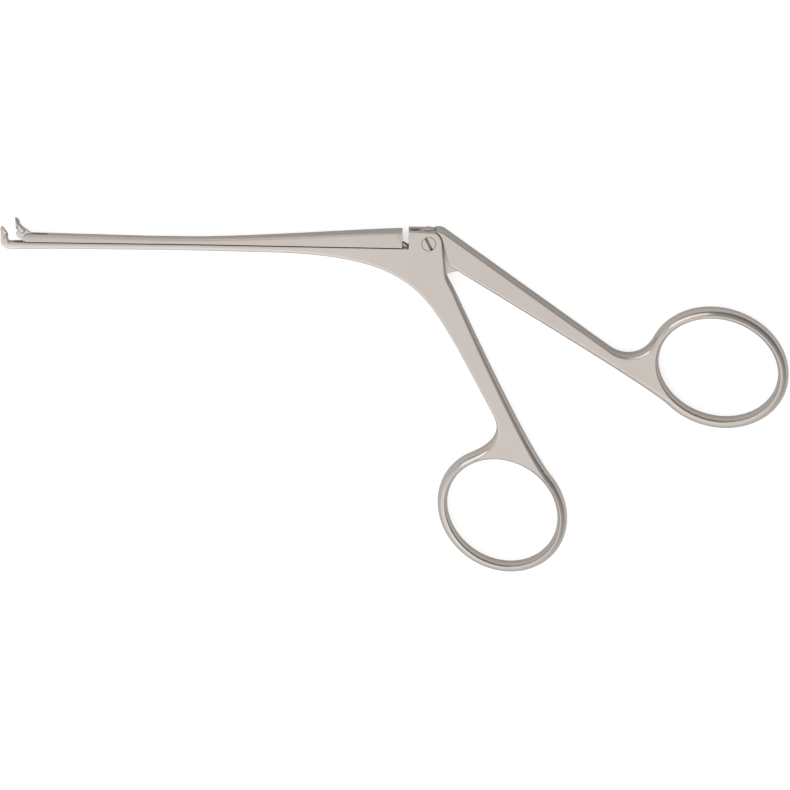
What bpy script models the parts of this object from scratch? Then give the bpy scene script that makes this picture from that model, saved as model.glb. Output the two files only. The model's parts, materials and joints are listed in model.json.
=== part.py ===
"""Cup forceps for fine work in the ear: a slide pushes the cup jaw shut against a fixed cup.

The instrument lies on its side. X runs from the cups to the thumb ring, Y is the height of the
instrument in use and Z is its thickness. Every size is in millimetres and every place is given
from the axis of the pivot screw; the meshes are brought to metres as the objects are made.
"""

import math

import bmesh
import bpy
from mathutils import Matrix, Vector
from mathutils.geometry import interpolate_bezier

MM = 0.001

# Thickness of the forging, at the handles and at the slim part of the shaft.
HANDLE_THICKNESS = 4.6
SHAFT_THICKNESS = 2.5
SLIM_FROM = 46.0

# The shaft: how far the jaw's pin lies from the screw, and the heights of its two bars.
JAW_REACH = 80.6
PARTING_DROP = 1.0
LOWER_BAR_HEIGHT = 1.3
NOSE_DROP = 0.2
BELLY_START = 30.0
BELLY_SAG = 0.16
SLIDE_HEIGHT = 1.36
SLIDE_REAR_HEIGHT = 3.36
NOSE_RADIUS = 0.75
NOTCH_FRONT = 4.2
NOTCH_WIDTH = 0.95
BAR_CLEARANCE = 0.05

# The box joint: its body, and the slot in it where the tang and the slide's tail move.
BODY_TOP = 2.4
BODY_CORNER_RADIUS = 2.75
BODY_REAR_LEAN = math.radians(5.5)
BODY_REAR_LENGTH = 6.3
SHOULDER_GAP = 0.09
SHOULDER_START = 1.3
BOX_SLOT_WIDTH = 2.0
BOX_SLOT_REACH = 4.2
BOX_SLOT_DEPTH = 0.75
TANG_CLEARANCE = 0.05
TANG_EYE_RADIUS = 2.85
TANG_LOBE_WALL = 2.0
TANG_END_CLEARANCE = 0.3

# The motion: squeezing turns the thumb handle, which pushes the slide and shuts the jaw.
HANDLE_SWING = math.radians(10.0)
JAW_SWING = math.radians(30.0)
PIN_SPACING = 1.5
SLIDE_TRAVEL = 2.0 * PIN_SPACING * math.tan(JAW_SWING / 2)
LEVER_DROP = SLIDE_TRAVEL / 2 / math.tan(HANDLE_SWING / 2)
RUNNING_CLEARANCE = 0.05

# The screw and the two jaw pins.
SCREW_HEAD_RADIUS = 1.38
SCREW_HEAD_DEPTH = 0.75
SCREW_SHANK_RADIUS = 0.95
SCREW_SHORT_OF_BACK = 0.06
SCREW_SLOT_WIDTH = 0.45
SCREW_SLOT_DEPTH = 0.4
SCREW_SLOT_ANGLE = math.radians(-63.0)
SCREW_CHAMFER = 0.08
PIN_RADIUS = 0.25
PIN_CLEARANCE = 0.04
PIN_DEPTH = 0.7
PIN_SHORT_OF_FACE = 0.03

# The slide's tail, its round end in the thumb handle, and its keyed foot.
TAIL_THICKNESS = 1.8
TAIL_ROOT_HEIGHT = 1.4
TAIL_NECK_WIDTH = 1.0
TAIL_GRIP = 3.0
TAIL_SINK = 0.95
TAIL_ANGLE = math.radians(155.0)
TAIL_CHANNEL_THICKNESS = 2.8
TAIL_CHANNEL_LENGTH = 4.0
TAIL_CHANNEL_FLARE = 0.45
KNOB_RADIUS = 0.9
KEY_NECK_WIDTH = 0.8
KEY_FOOT_WIDTH = 1.2
KEY_DEPTH = 0.5
KEY_SETBACK = 0.4
KEY_SHORT_OF_REAR = 1.0

# The cups, seen from the jaw's pin with the jaw shut.
CUP_TIP_REACH = 6.0
CUP_TIP_ANGLE = math.radians(141.3)
CUP_RIM_ANGLE = math.radians(124.4)
CUP_LENGTH = 2.3
CUP_WIDTH = 2.0
CUP_DEPTH = 0.95
CUP_WALL = 0.22
CUP_GAP = 0.05
STEM_WIDTH = 1.55
STEM_INSET = 0.62
STEM_THICKNESS = 2.0
STEM_SWELL = 2.0
LUG_THICKNESS = 0.9
LUG_EYE_RADIUS = 0.52
LUG_EYE_CLEARANCE = 0.06
NECK_THICKNESS = 1.5
JAW_SLOT_CLEARANCE = 0.05
NOSE_SLOT_LENGTH = 4.4
NOSE_SLOT_SLOPE = 0.6

# The finger rings: centre, half length, half width and tilt of the middle of the band.
FINGER_RING_CENTRE = (15.4, -55.3)
FINGER_RING_HALF_LENGTH = 12.75
FINGER_RING_HALF_WIDTH = 11.0
FINGER_RING_TILT = math.radians(-39.5)
FINGER_RING_BAND = 2.05
THUMB_RING_CENTRE = (58.2, -25.3)
THUMB_RING_HALF_LENGTH = 13.3
THUMB_RING_HALF_WIDTH = 11.05
THUMB_RING_TILT = math.radians(-20.5)
THUMB_RING_BAND = 2.15

# The arms between the box joint and the rings. An elbow is given from its ring's centre, and
# the bend is how far before the ring's centre the thumb arm's straight upper edge ends.
FINGER_ARM_ANGLE = math.radians(-61.9)
FINGER_ARM_FRONT_ANGLE = math.radians(-59.0)
FINGER_ARM_TOP = (4.75, -9.4)
FINGER_ARM_FRONT_TOP = (5.67, -21.06)
FINGER_ARM_ELBOW = (-2.72, 21.16)
THUMB_ARM_ANGLE = math.radians(-35.7)
THUMB_ARM_LOWER_ANGLE = math.radians(-33.2)
THUMB_CREST = (2.7, 2.6)
THUMB_ARM_LOWER_POINT = (8.72, -7.47)
THUMB_ARM_BEND = 20.05
THUMB_HEEL_ROUND = 0.7

# How far an edge is drawn in, and how far down the side its rounding starts.
SHARP_EDGE = (0.08, 0.08)
STEM_EDGE = (0.2, 0.3)
ARM_EDGE = (0.35, 0.35)
SHAFT_EDGE = (0.45, 0.6)
RING_EDGE = (0.95, 1.7)
EDGE_STEPS = 3
RING_STEPS = 48

# How far a cutter runs past the metal it cuts.
OVERCUT = 2.0
KEEP_CLEAR = 0.2

QUARTER_TURN = math.pi / 2
HALF_HANDLE = HANDLE_THICKNESS / 2
HALF_SHAFT = SHAFT_THICKNESS / 2
PARTING = -PARTING_DROP
JAW_PIN = Vector((-JAW_REACH, PARTING - PIN_DEPTH))
DRIVE_PIN = JAW_PIN + Vector((SLIDE_TRAVEL / 2, PIN_SPACING))
KNOB = Vector((SLIDE_TRAVEL / 2, -LEVER_DROP))
SLIDE_REAR = -NOTCH_FRONT - NOTCH_WIDTH
TANG_LOBE_RADIUS = LEVER_DROP + KNOB_RADIUS + TANG_LOBE_WALL
KEY_FRONT = DRIVE_PIN.x + NOSE_SLOT_LENGTH + KEY_SETBACK
CUP_HALF_LENGTH = CUP_LENGTH / 2
JAW_SLOT_THICKNESS = LUG_THICKNESS + 2 * JAW_SLOT_CLEARANCE


def heading(angle):
    """Unit vector in the XY plane at an angle from +X."""
    return Vector((math.cos(angle), math.sin(angle)))


def turned(point, angle):
    """A point turned about the origin of the XY plane."""
    return Matrix.Rotation(angle, 2) @ Vector(point)


def spread(start, stop, steps):
    """Evenly spaced values from start to stop, both included."""
    return [start + (stop - start) * i / steps for i in range(steps + 1)]


def from_point(start, *offsets):
    """Points given by their offsets from one point."""
    return [Vector(start) + Vector(offset) for offset in offsets]


class Ring:
    """An oval finger ring, drawn as an ellipse on each side of its band."""

    def __init__(self, centre, half_length, half_width, tilt, band):
        self.centre = Vector(centre)
        self.half_length = half_length
        self.half_width = half_width
        self.tilt = tilt
        self.band = band

    def point(self, angle, side):
        """Point on the band's outer side (side 1) or inner side (side -1)."""
        grow = side * self.band / 2
        local = ((self.half_length + grow) * math.cos(angle), (self.half_width + grow) * math.sin(angle))
        return self.centre + turned(local, self.tilt)

    def direction(self, angle):
        """Angle of the counterclockwise tangent on the outer side."""
        grow = self.band / 2
        local = (-(self.half_length + grow) * math.sin(angle), (self.half_width + grow) * math.cos(angle))
        along = turned(local, self.tilt)
        return math.atan2(along.y, along.x)


class Outline:
    """A closed outline in the XY plane whose points each carry the rounding of their edge."""

    def __init__(self, rounding):
        self.points = []
        self.roundings = []
        self.rounding = rounding

    def add(self, point, rounding=None):
        """Add one corner; later points keep its rounding unless they state another."""
        self.rounding = rounding or self.rounding
        self.points.append(Vector(point))
        self.roundings.append(self.rounding)
        return self

    def line(self, *corners, rounding=None):
        """Add corners joined by straight edges."""
        for corner in corners:
            self.add(corner, rounding)
        return self

    def arc(self, centre, radius, start, stop, steps=8, rounding=None):
        """Add a round stretch about a centre, both ends included."""
        for angle in spread(start, stop, steps):
            self.add(Vector(centre) + radius * heading(angle), rounding)
        return self

    def curve(self, end, leave, arrive, pulls, steps=10, rounding=None):
        """Add a smooth stretch from the last point, blending its edge rounding to the new one.

        Leave and arrive are the directions at both ends, and pulls say how much of the straight
        distance each direction holds.
        """
        start, end = self.points[-1], Vector(end)
        before, after = self.rounding, rounding or self.rounding
        length = (end - start).length
        handles = (start + heading(leave) * length * pulls[0], end - heading(arrive) * length * pulls[1])
        path = interpolate_bezier(start, *handles, end, steps + 1)
        for i, point in enumerate(path[1:], 1):
            share = i / steps
            mixed = tuple(a + (b - a) * share for a, b in zip(before, after))
            self.add(point.to_2d(), mixed)
        return self

    def around(self, ring, start, stop, side, steps):
        """Add a stretch of a finger ring's side."""
        for angle in spread(start, stop, steps):
            self.add(ring.point(angle, side), RING_EDGE)
        return self

    def inward(self):
        """Direction and share by which each corner moves when the edges are drawn in."""
        count = len(self.points)
        normals = []
        for i in range(count):
            along = (self.points[(i + 1) % count] - self.points[i]).normalized()
            normals.append(Vector((-along.y, along.x)))
        return [(normals[i - 1] + normals[i]) / (1 + normals[i - 1].dot(normals[i])) for i in range(count)]


def plate(outlines, half_thickness, steps=EDGE_STEPS):
    """Solid plate about the XY plane with rounded edges, from an outline and any holes in it.

    The outer outline runs counterclockwise and each hole clockwise, so that drawing the edges in
    moves both into the metal.
    """
    bm = bmesh.new()
    rims = {1: [], -1: []}
    for outline in outlines:
        moves = outline.inward()
        layers = []
        for face, angles in ((1, spread(QUARTER_TURN, 0, steps)), (-1, spread(0, QUARTER_TURN, steps))):
            for angle in angles:
                layer = []
                for point, move, (inset, drop) in zip(outline.points, moves, outline.roundings):
                    place = point + move * inset * (1 - math.cos(angle))
                    depth = half_thickness - drop * (1 - math.sin(angle))
                    layer.append(bm.verts.new((place.x, place.y, face * depth)))
                layers.append(layer)
        count = len(outline.points)
        for upper, lower in zip(layers, layers[1:]):
            for i in range(count):
                j = (i + 1) % count
                bm.faces.new((lower[i], lower[j], upper[j], upper[i]))
        for face, layer in ((1, layers[0]), (-1, layers[-1])):
            rims[face] += [bm.edges.get((layer[i], layer[(i + 1) % count])) for i in range(count)]
    for face, edges in rims.items():
        bmesh.ops.triangle_fill(bm, edges=edges, use_beauty=True, normal=(0, 0, face))
    bmesh.ops.recalc_face_normals(bm, faces=bm.faces)
    return bm


def shaft_half_thickness(x):
    """Half thickness of the forging at x: full at the box joint, slim along the shaft."""
    share = min(max((x + SLIM_FROM) / (SLIM_FROM - NOTCH_FRONT), 0.0), 1.0)
    stem = min(max((-JAW_REACH - STEM_SWELL - x) / STEM_SWELL, 0.0), 1.0)
    half = HALF_SHAFT + (HALF_HANDLE - HALF_SHAFT) * share
    return half + (STEM_THICKNESS / 2 - HALF_SHAFT) * stem


def thin_shaft(bm):
    """Draw a plate of full thickness down to the tapered shaft."""
    for x in (-JAW_REACH - 2 * STEM_SWELL, -JAW_REACH - STEM_SWELL, -SLIM_FROM, -NOTCH_FRONT):
        everything = bm.verts[:] + bm.edges[:] + bm.faces[:]
        bmesh.ops.bisect_plane(bm, geom=everything, dist=1e-5, plane_co=(x, 0, 0), plane_no=(1, 0, 0))
    bmesh.ops.triangulate(bm, faces=bm.faces)
    for vertex in bm.verts:
        vertex.co.z *= shaft_half_thickness(vertex.co.x) / HALF_HANDLE
    return bm


def prism(profile, start, stop):
    """Solid of a closed (y, z) profile, carried along X from start to stop."""
    bm = bmesh.new()
    face = bm.faces.new([bm.verts.new((start, y, z)) for y, z in profile])
    grown = bmesh.ops.extrude_face_region(bm, geom=[face])
    moved = [item for item in grown["geom"] if isinstance(item, bmesh.types.BMVert)]
    bmesh.ops.translate(bm, verts=moved, vec=(stop - start, 0, 0))
    bmesh.ops.recalc_face_normals(bm, faces=bm.faces)
    return bm


def rod(centre, radius, low=-HANDLE_THICKNESS, high=HANDLE_THICKNESS, segments=32):
    """Round bar along Z between two heights, which as a rule run right through the metal."""
    bm = bmesh.new()
    bmesh.ops.create_cone(
        bm, cap_ends=True, segments=segments, radius1=radius, radius2=radius, depth=high - low,
        matrix=Matrix.Translation((centre[0], centre[1], (low + high) / 2)))
    return bm


def egg(centre, wall=0.0):
    """Ellipsoid on which the cups are formed, smaller by the wall for their hollow."""
    bm = bmesh.new()
    place = Matrix.Translation((centre.x, centre.y, 0)) @ Matrix.Rotation(CUP_RIM_ANGLE, 4, "Z")
    size = Matrix.Diagonal((CUP_HALF_LENGTH - wall, CUP_DEPTH - wall, CUP_WIDTH / 2 - wall, 1))
    pole_on_end = Matrix.Rotation(QUARTER_TURN, 4, "Y")
    bmesh.ops.create_uvsphere(bm, u_segments=28, v_segments=14, radius=1, matrix=place @ size @ pole_on_end)
    return bm


def half_egg(centre, side):
    """Half of an egg, on the left (side 1) or right (side -1) of its long axis."""
    bm = egg(centre)
    away = -side * turned((0, 1), CUP_RIM_ANGLE)
    everything = bm.verts[:] + bm.edges[:] + bm.faces[:]
    cut = bmesh.ops.bisect_plane(
        bm, geom=everything, dist=1e-5, plane_co=(centre.x, centre.y, 0),
        plane_no=(away.x, away.y, 0), clear_outer=True)
    rim = [item for item in cut["geom_cut"] if isinstance(item, bmesh.types.BMEdge)]
    bmesh.ops.contextual_create(bm, geom=rim)
    bmesh.ops.recalc_face_normals(bm, faces=bm.faces)
    return bm


def steel(name, colour, roughness):
    """Stainless steel with its own shade and polish."""
    material = bpy.data.materials.new(name)
    material.use_nodes = True
    shader = material.node_tree.nodes["Principled BSDF"]
    shader.inputs["Base Color"].default_value = (*colour, 1.0)
    shader.inputs["Metallic"].default_value = 1.0
    shader.inputs["Roughness"].default_value = roughness
    return material


class Forceps:
    """The assembly: an empty on the screw's axis that carries the pieces, and their cutters."""

    def __init__(self):
        self.parts = bpy.data.collections.new("cup_forceps")
        self.cutters = bpy.data.collections.new("cutters")
        for collection in (self.parts, self.cutters):
            bpy.context.scene.collection.children.link(collection)
        self.root = bpy.data.objects.new("forceps_root", None)
        self.parts.objects.link(self.root)

    def place(self, name, bm, collection, parent):
        """Make an object of a mesh, carried by its parent."""
        bm.transform(Matrix.Scale(MM, 4))
        mesh = bpy.data.meshes.new(name)
        bm.to_mesh(mesh)
        bm.free()
        item = bpy.data.objects.new(name, mesh)
        item.parent = parent
        collection.objects.link(item)
        return item

    def part(self, name, bm, colour, roughness, origin=(0.0, 0.0), turn=0.0):
        """A piece of the instrument in its own steel, drawn about its own origin."""
        item = self.place(name, bm, self.parts, self.root)
        item.location = (origin[0] * MM, origin[1] * MM, 0)
        item.rotation_euler.z = turn
        item.data.materials.append(steel(name + "_steel", colour, roughness))
        item.data.shade_smooth()
        item.data.set_sharp_from_angle(angle=math.radians(35))
        return item

    def shape(self, piece, operation, name, bm, turn=0.0):
        """Cut a shape out of a piece or join it on; the shape is drawn about the piece's origin."""
        tool = self.place(name, bm, self.cutters, piece)
        tool.rotation_euler.z = turn
        tool.hide_render = True
        tool.display_type = "WIRE"
        modifier = piece.modifiers.new(name, "BOOLEAN")
        modifier.operation = operation
        modifier.solver = "EXACT"
        modifier.object = tool

    def rest_on_table(self):
        """Bring the underside to Z = 0 and the middle of the outline over the origin."""
        bpy.context.view_layer.update()
        graph = bpy.context.evaluated_depsgraph_get()
        corners = []
        for item in self.parts.objects:
            if item.type == "MESH":
                seen = item.evaluated_get(graph)
                corners += [seen.matrix_world @ vertex.co for vertex in seen.data.vertices]
        low = [min(corner[i] for corner in corners) for i in range(3)]
        high = [max(corner[i] for corner in corners) for i in range(3)]
        self.root.location = (-(low[0] + high[0]) / 2, -(low[1] + high[1]) / 2, -low[2])
        bpy.context.view_layer.update()


FINGER_RING = Ring(
    FINGER_RING_CENTRE, FINGER_RING_HALF_LENGTH, FINGER_RING_HALF_WIDTH, FINGER_RING_TILT, FINGER_RING_BAND)
THUMB_RING = Ring(
    THUMB_RING_CENTRE, THUMB_RING_HALF_LENGTH, THUMB_RING_HALF_WIDTH, THUMB_RING_TILT, THUMB_RING_BAND)


def ring_hole(ring):
    """Inner side of a finger ring, run clockwise."""
    turn = 2 * math.pi
    return Outline(RING_EDGE).around(ring, turn, turn / RING_STEPS, -1, RING_STEPS - 1)


def cup_middle():
    """Middle of the cups' rims, from the jaw's pin with the jaw shut."""
    return CUP_TIP_REACH * heading(CUP_TIP_ANGLE) - CUP_HALF_LENGTH * heading(CUP_RIM_ANGLE)


def fixed_handle_outline():
    """Side view of the fixed cup's stem, the lower bar, the box joint and the finger handle."""
    ring = FINGER_RING
    middle = JAW_PIN + cup_middle()
    bar_bottom = PARTING - LOWER_BAR_HEIGHT
    nose_bottom = bar_bottom - NOSE_DROP
    inner = middle.x + STEM_INSET
    outer = inner - STEM_WIDTH
    rear = BODY_CORNER_RADIUS * heading(BODY_REAR_LEAN)
    rear_low = rear + turned((0, -BODY_REAR_LENGTH), BODY_REAR_LEAN)
    corner_start = math.asin(BODY_TOP / BODY_CORNER_RADIUS)
    arm_back = FINGER_ARM_ANGLE + math.pi
    front_end, rear_end = math.radians(155), math.radians(437)

    shape = Outline(SHAFT_EDGE)
    shape.line(middle + Vector((-0.25, 0.15)), (outer, middle.y - 0.6))
    shape.arc((outer + STEM_WIDTH, nose_bottom + STEM_WIDTH), STEM_WIDTH, math.pi, 1.5 * math.pi, 7)
    shape.line((-JAW_REACH, nose_bottom), (-JAW_REACH + 5, bar_bottom - BELLY_SAG / 2))
    shape.line((-SLIM_FROM - 8, bar_bottom), (-SLIM_FROM + 2, bar_bottom - BELLY_SAG / 4))
    shape.line((-BELLY_START, bar_bottom - BELLY_SAG))
    shape.curve(FINGER_ARM_FRONT_TOP, -0.02, FINGER_ARM_FRONT_ANGLE, (0.64, 0.32), 22, ARM_EDGE)
    shape.line(ring.centre + Vector(FINGER_ARM_ELBOW), rounding=ARM_EDGE)
    joining = ring.direction(front_end)
    shape.curve(ring.point(front_end, 1), FINGER_ARM_FRONT_ANGLE, joining, (0.62, 0.42), 12, RING_EDGE)
    shape.around(ring, front_end, rear_end, 1, 38)
    shape.curve(FINGER_ARM_TOP, ring.direction(rear_end), arm_back, (0.2, 0.1), 14, ARM_EDGE)
    shape.curve(rear_low, arm_back, BODY_REAR_LEAN + QUARTER_TURN, (0.35, 0.35), 4)
    shape.arc((0, 0), BODY_CORNER_RADIUS, BODY_REAR_LEAN, corner_start, 8)
    shape.line((-NOTCH_FRONT, BODY_TOP), rounding=SHARP_EDGE)
    shape.line((-NOTCH_FRONT, PARTING), (-JAW_REACH - 2.4, PARTING))
    shape.curve((inner, PARTING + 0.55), math.pi, QUARTER_TURN, (0.5, 0.5), 5, STEM_EDGE)
    shape.line(middle + Vector((0.2, -0.5)))
    return shape


def cut_cup_and_jaw_slot(forceps, handle):
    """Form the fixed cup, the slot for the jaw's lug and the bore of its pin."""
    centre = JAW_PIN + cup_middle()
    forceps.shape(handle, "UNION", "fixed_cup_shell", half_egg(centre, 1))
    forceps.shape(handle, "DIFFERENCE", "fixed_cup_hollow", egg(centre, CUP_WALL))

    slot = Outline(SHARP_EDGE)
    top, deep = PIN_DEPTH + KEEP_CLEAR, -LUG_EYE_RADIUS - LUG_EYE_CLEARANCE
    slot.line(*from_point(JAW_PIN, (-2.5, top), (-2.5, 0.45), (-0.9, deep)))
    slot.line(*from_point(JAW_PIN, (0.6, deep), (1.1, 0.1), (1.1, top)))
    forceps.shape(handle, "DIFFERENCE", "jaw_slot", plate([slot], JAW_SLOT_THICKNESS / 2, 1))
    pin_bore = rod(JAW_PIN, PIN_RADIUS + PIN_CLEARANCE, segments=20)
    forceps.shape(handle, "DIFFERENCE", "jaw_pin_bore", pin_bore)


def cut_box_joint(forceps, handle):
    """Cut the slot for the tang and the tail, the groove for the slide's key and the screw's bore."""
    box = Outline(SHARP_EDGE)
    floor = PARTING - BOX_SLOT_DEPTH
    front, top, behind = SLIDE_REAR - BOX_SLOT_REACH, BODY_TOP + OVERCUT, BODY_CORNER_RADIUS + 5.25
    box.line((front, top), (front, floor), (SLIDE_REAR - 1.45, floor), KNOB + Vector((-4.7, 0.6)))
    box.arc((0, 0), TANG_LOBE_RADIUS + TANG_END_CLEARANCE, math.radians(-116), math.radians(-50), 12)
    box.line((behind, -5.5), (behind, top))
    forceps.shape(handle, "DIFFERENCE", "box_slot", plate([box], BOX_SLOT_WIDTH / 2, 1))

    groove = prism(key_profile(BAR_CLEARANCE), KEY_FRONT - SLIDE_TRAVEL - KEEP_CLEAR, SLIDE_REAR)
    forceps.shape(handle, "DIFFERENCE", "key_groove", groove)

    forceps.shape(handle, "DIFFERENCE", "screw_bore", rod((0, 0), SCREW_SHANK_RADIUS + RUNNING_CLEARANCE))
    seat = HALF_HANDLE - SCREW_HEAD_DEPTH - BAR_CLEARANCE
    head_seat = rod((0, 0), SCREW_HEAD_RADIUS + BAR_CLEARANCE, low=seat, segments=36)
    forceps.shape(handle, "DIFFERENCE", "screw_head_seat", head_seat)


def key_profile(grow):
    """Dovetail section of the slide's key, or of its groove when grown."""
    top = PARTING + KEEP_CLEAR
    foot = PARTING - KEY_DEPTH - grow
    neck, wide = KEY_NECK_WIDTH / 2 + grow, KEY_FOOT_WIDTH / 2 + grow
    return [(top, -neck), (PARTING, -neck), (foot, -wide), (foot, wide), (PARTING, neck), (top, neck)]


def build_fixed_handle(forceps):
    """Fixed cup, lower bar, box joint and finger handle, forged in one piece."""
    bm = thin_shaft(plate([fixed_handle_outline(), ring_hole(FINGER_RING)], HALF_HANDLE))
    handle = forceps.part("fixed_handle", bm, (0.60, 0.58, 0.55), 0.32)
    cut_cup_and_jaw_slot(forceps, handle)
    cut_box_joint(forceps, handle)


def slide_outline():
    """Side view of the slide: round nose, slim bar and deep rear end."""
    base = PARTING + BAR_CLEARANCE
    centre = Vector((DRIVE_PIN.x, base + NOSE_RADIUS))
    slim_top, rear_top = PARTING + SLIDE_HEIGHT, PARTING + SLIDE_REAR_HEIGHT
    shape = Outline(SHARP_EDGE)
    shape.arc(centre, NOSE_RADIUS, math.pi, 1.5 * math.pi, 6)
    shape.line((SLIDE_REAR, base), (SLIDE_REAR, rear_top - 0.02))
    shape.line((SLIDE_REAR - 0.2, rear_top), rounding=ARM_EDGE)
    shape.curve((-SLIM_FROM - 2, slim_top), math.pi, math.pi, (0.12, 0.30), 18, SHAFT_EDGE)
    shape.line((-SLIM_FROM - 10, slim_top))
    shape.arc(centre, NOSE_RADIUS, QUARTER_TURN, math.radians(160), 6)
    return shape


def tail_outline():
    """Side view of the tail: from under the slide down to the round end in the thumb handle."""
    root = Vector((SLIDE_REAR - TAIL_GRIP, PARTING + TAIL_SINK - TAIL_ROOT_HEIGHT / 2))
    middle = Vector((SLIDE_REAR + 0.2, root.y - 0.1))
    length = (middle - KNOB).length
    steps = 12
    handles = (KNOB + heading(TAIL_ANGLE) * length * 0.45, middle + heading(math.radians(-40)) * length * 0.2)
    path = [point.to_2d() for point in interpolate_bezier(KNOB, *handles, middle, steps + 1)] + [root]
    upper, lower = [], []
    for i, point in enumerate(path):
        along = (path[min(i + 1, len(path) - 1)] - path[max(i - 1, 0)]).normalized()
        across = Vector((along.y, -along.x))
        share = min(i / steps, 1.0)
        half = (TAIL_NECK_WIDTH + (TAIL_ROOT_HEIGHT - TAIL_NECK_WIDTH) * share) / 2
        if (point - KNOB).length > KNOB_RADIUS + 0.1:
            upper.append(point + across * half)
            lower.append(point - across * half)
    opening = math.asin(TAIL_NECK_WIDTH / 2 / KNOB_RADIUS)
    shape = Outline(SHARP_EDGE)
    shape.line(*reversed(lower))
    shape.arc(KNOB, KNOB_RADIUS, TAIL_ANGLE + opening, TAIL_ANGLE + 2 * math.pi - opening, 18)
    shape.line(*upper)
    return shape


def nose_slot_outline():
    """Side view of the slot in the slide's nose, which ends in a slope up to the top face."""
    front, end = DRIVE_PIN.x - OVERCUT, DRIVE_PIN.x + NOSE_SLOT_LENGTH
    below, above = PARTING - 0.5, PARTING + SLIDE_REAR_HEIGHT
    slot = Outline(SHARP_EDGE)
    foot, knee = end - 2 * NOSE_SLOT_SLOPE, end - NOSE_SLOT_SLOPE
    slot.line((front, below), (foot, below), (knee, PARTING + NOSE_SLOT_SLOPE), (end, above), (front, above))
    return slot


def build_slide(forceps):
    """The slide: the upper bar with its slotted nose, its key and its hooked tail."""
    bm = thin_shaft(plate([slide_outline()], HALF_HANDLE))
    slide = forceps.part("slide_shaft", bm, (0.58, 0.56, 0.53), 0.3)
    key = prism(key_profile(0.0), KEY_FRONT, SLIDE_REAR - KEY_SHORT_OF_REAR)
    forceps.shape(slide, "UNION", "slide_key", key)
    forceps.shape(slide, "UNION", "slide_tail", plate([tail_outline()], TAIL_THICKNESS / 2, 1))
    forceps.shape(slide, "DIFFERENCE", "nose_slot", plate([nose_slot_outline()], JAW_SLOT_THICKNESS / 2, 1))
    pin_bore = rod(DRIVE_PIN, PIN_RADIUS + PIN_CLEARANCE, segments=20)
    forceps.shape(slide, "DIFFERENCE", "drive_pin_bore", pin_bore)


def thumb_handle_outline():
    """Side view of the thumb handle outside the box joint, at full thickness."""
    ring = THUMB_RING
    radius = BODY_CORNER_RADIUS + SHOULDER_GAP
    lean = BODY_REAR_LEAN + HANDLE_SWING
    start, down = radius * heading(lean), heading(lean - QUARTER_TURN)
    arm_way, lower_way = heading(THUMB_ARM_ANGLE), heading(THUMB_ARM_LOWER_ANGLE)
    off_lower_edge = heading(THUMB_ARM_LOWER_ANGLE + QUARTER_TURN)
    reach = (Vector(THUMB_ARM_LOWER_POINT) - start).dot(off_lower_edge) / down.dot(off_lower_edge)
    heel = start + down * reach
    lower_end, upper_end = math.radians(243), math.radians(535)
    crest = Vector(THUMB_CREST)
    edge_end = crest + ((ring.centre - crest).dot(arm_way) - THUMB_ARM_BEND) * arm_way

    shape = Outline(SHARP_EDGE)
    shape.arc((0, 0), radius, math.acos(SHOULDER_START / radius), lean, 8)
    shape.line(heel - THUMB_HEEL_ROUND * down)
    after_heel = heel + THUMB_HEEL_ROUND * lower_way
    shape.curve(after_heel, lean - QUARTER_TURN, THUMB_ARM_LOWER_ANGLE, (0.5, 0.5), 4, ARM_EDGE)
    joining = ring.direction(lower_end)
    shape.curve(ring.point(lower_end, 1), THUMB_ARM_LOWER_ANGLE, joining, (0.2, 0.12), 14, RING_EDGE)
    shape.around(ring, lower_end, upper_end, 1, 38)
    shape.curve(edge_end, ring.direction(upper_end), THUMB_ARM_ANGLE + math.pi, (0.45, 0.4), 10, ARM_EDGE)
    shape.line(crest + 0.4 * arm_way, crest + Vector((-0.3, 0.02)))
    return shape


def tang_outline():
    """Side view of the thin tang: the eye on the screw and the lobe that holds the slide's end."""
    shape = Outline(SHARP_EDGE)
    shape.arc((0, 0), TANG_EYE_RADIUS, math.radians(88), math.radians(232), 14)
    shape.line(*from_point(KNOB, (-1.75, 0.6), (-1.75, -1.6)))
    shape.arc((0, 0), TANG_LOBE_RADIUS, math.radians(-101), math.radians(-56), 7)
    shape.line((6.6, -5.7), (7.4, -3.5), (4.2, 0.9))
    return shape


def build_thumb_handle(forceps):
    """Thumb handle: ring, arm and the tang that turns in the box joint."""
    bm = plate([thumb_handle_outline(), ring_hole(THUMB_RING)], HALF_HANDLE)
    handle = forceps.part("thumb_handle", bm, (0.57, 0.55, 0.52), 0.31)
    tang = plate([tang_outline()], BOX_SLOT_WIDTH / 2 - TANG_CLEARANCE, 1)
    forceps.shape(handle, "UNION", "tang", tang)
    forceps.shape(handle, "DIFFERENCE", "tang_bore", rod((0, 0), SCREW_SHANK_RADIUS + RUNNING_CLEARANCE))
    forceps.shape(handle, "DIFFERENCE", "tail_socket", rod(KNOB, KNOB_RADIUS + RUNNING_CLEARANCE))
    across = heading(TAIL_ANGLE - QUARTER_TURN)
    mouth = KNOB + TAIL_CHANNEL_LENGTH * heading(TAIL_ANGLE)
    half = TAIL_NECK_WIDTH / 2 + 2 * RUNNING_CLEARANCE
    flare = half + TAIL_CHANNEL_FLARE
    channel = Outline(SHARP_EDGE)
    channel.line(mouth - across * flare, mouth + across * flare, KNOB + across * half, KNOB - across * half)
    cutter = plate([channel], TAIL_CHANNEL_THICKNESS / 2, 1)
    forceps.shape(handle, "DIFFERENCE", "tail_channel", cutter)


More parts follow.
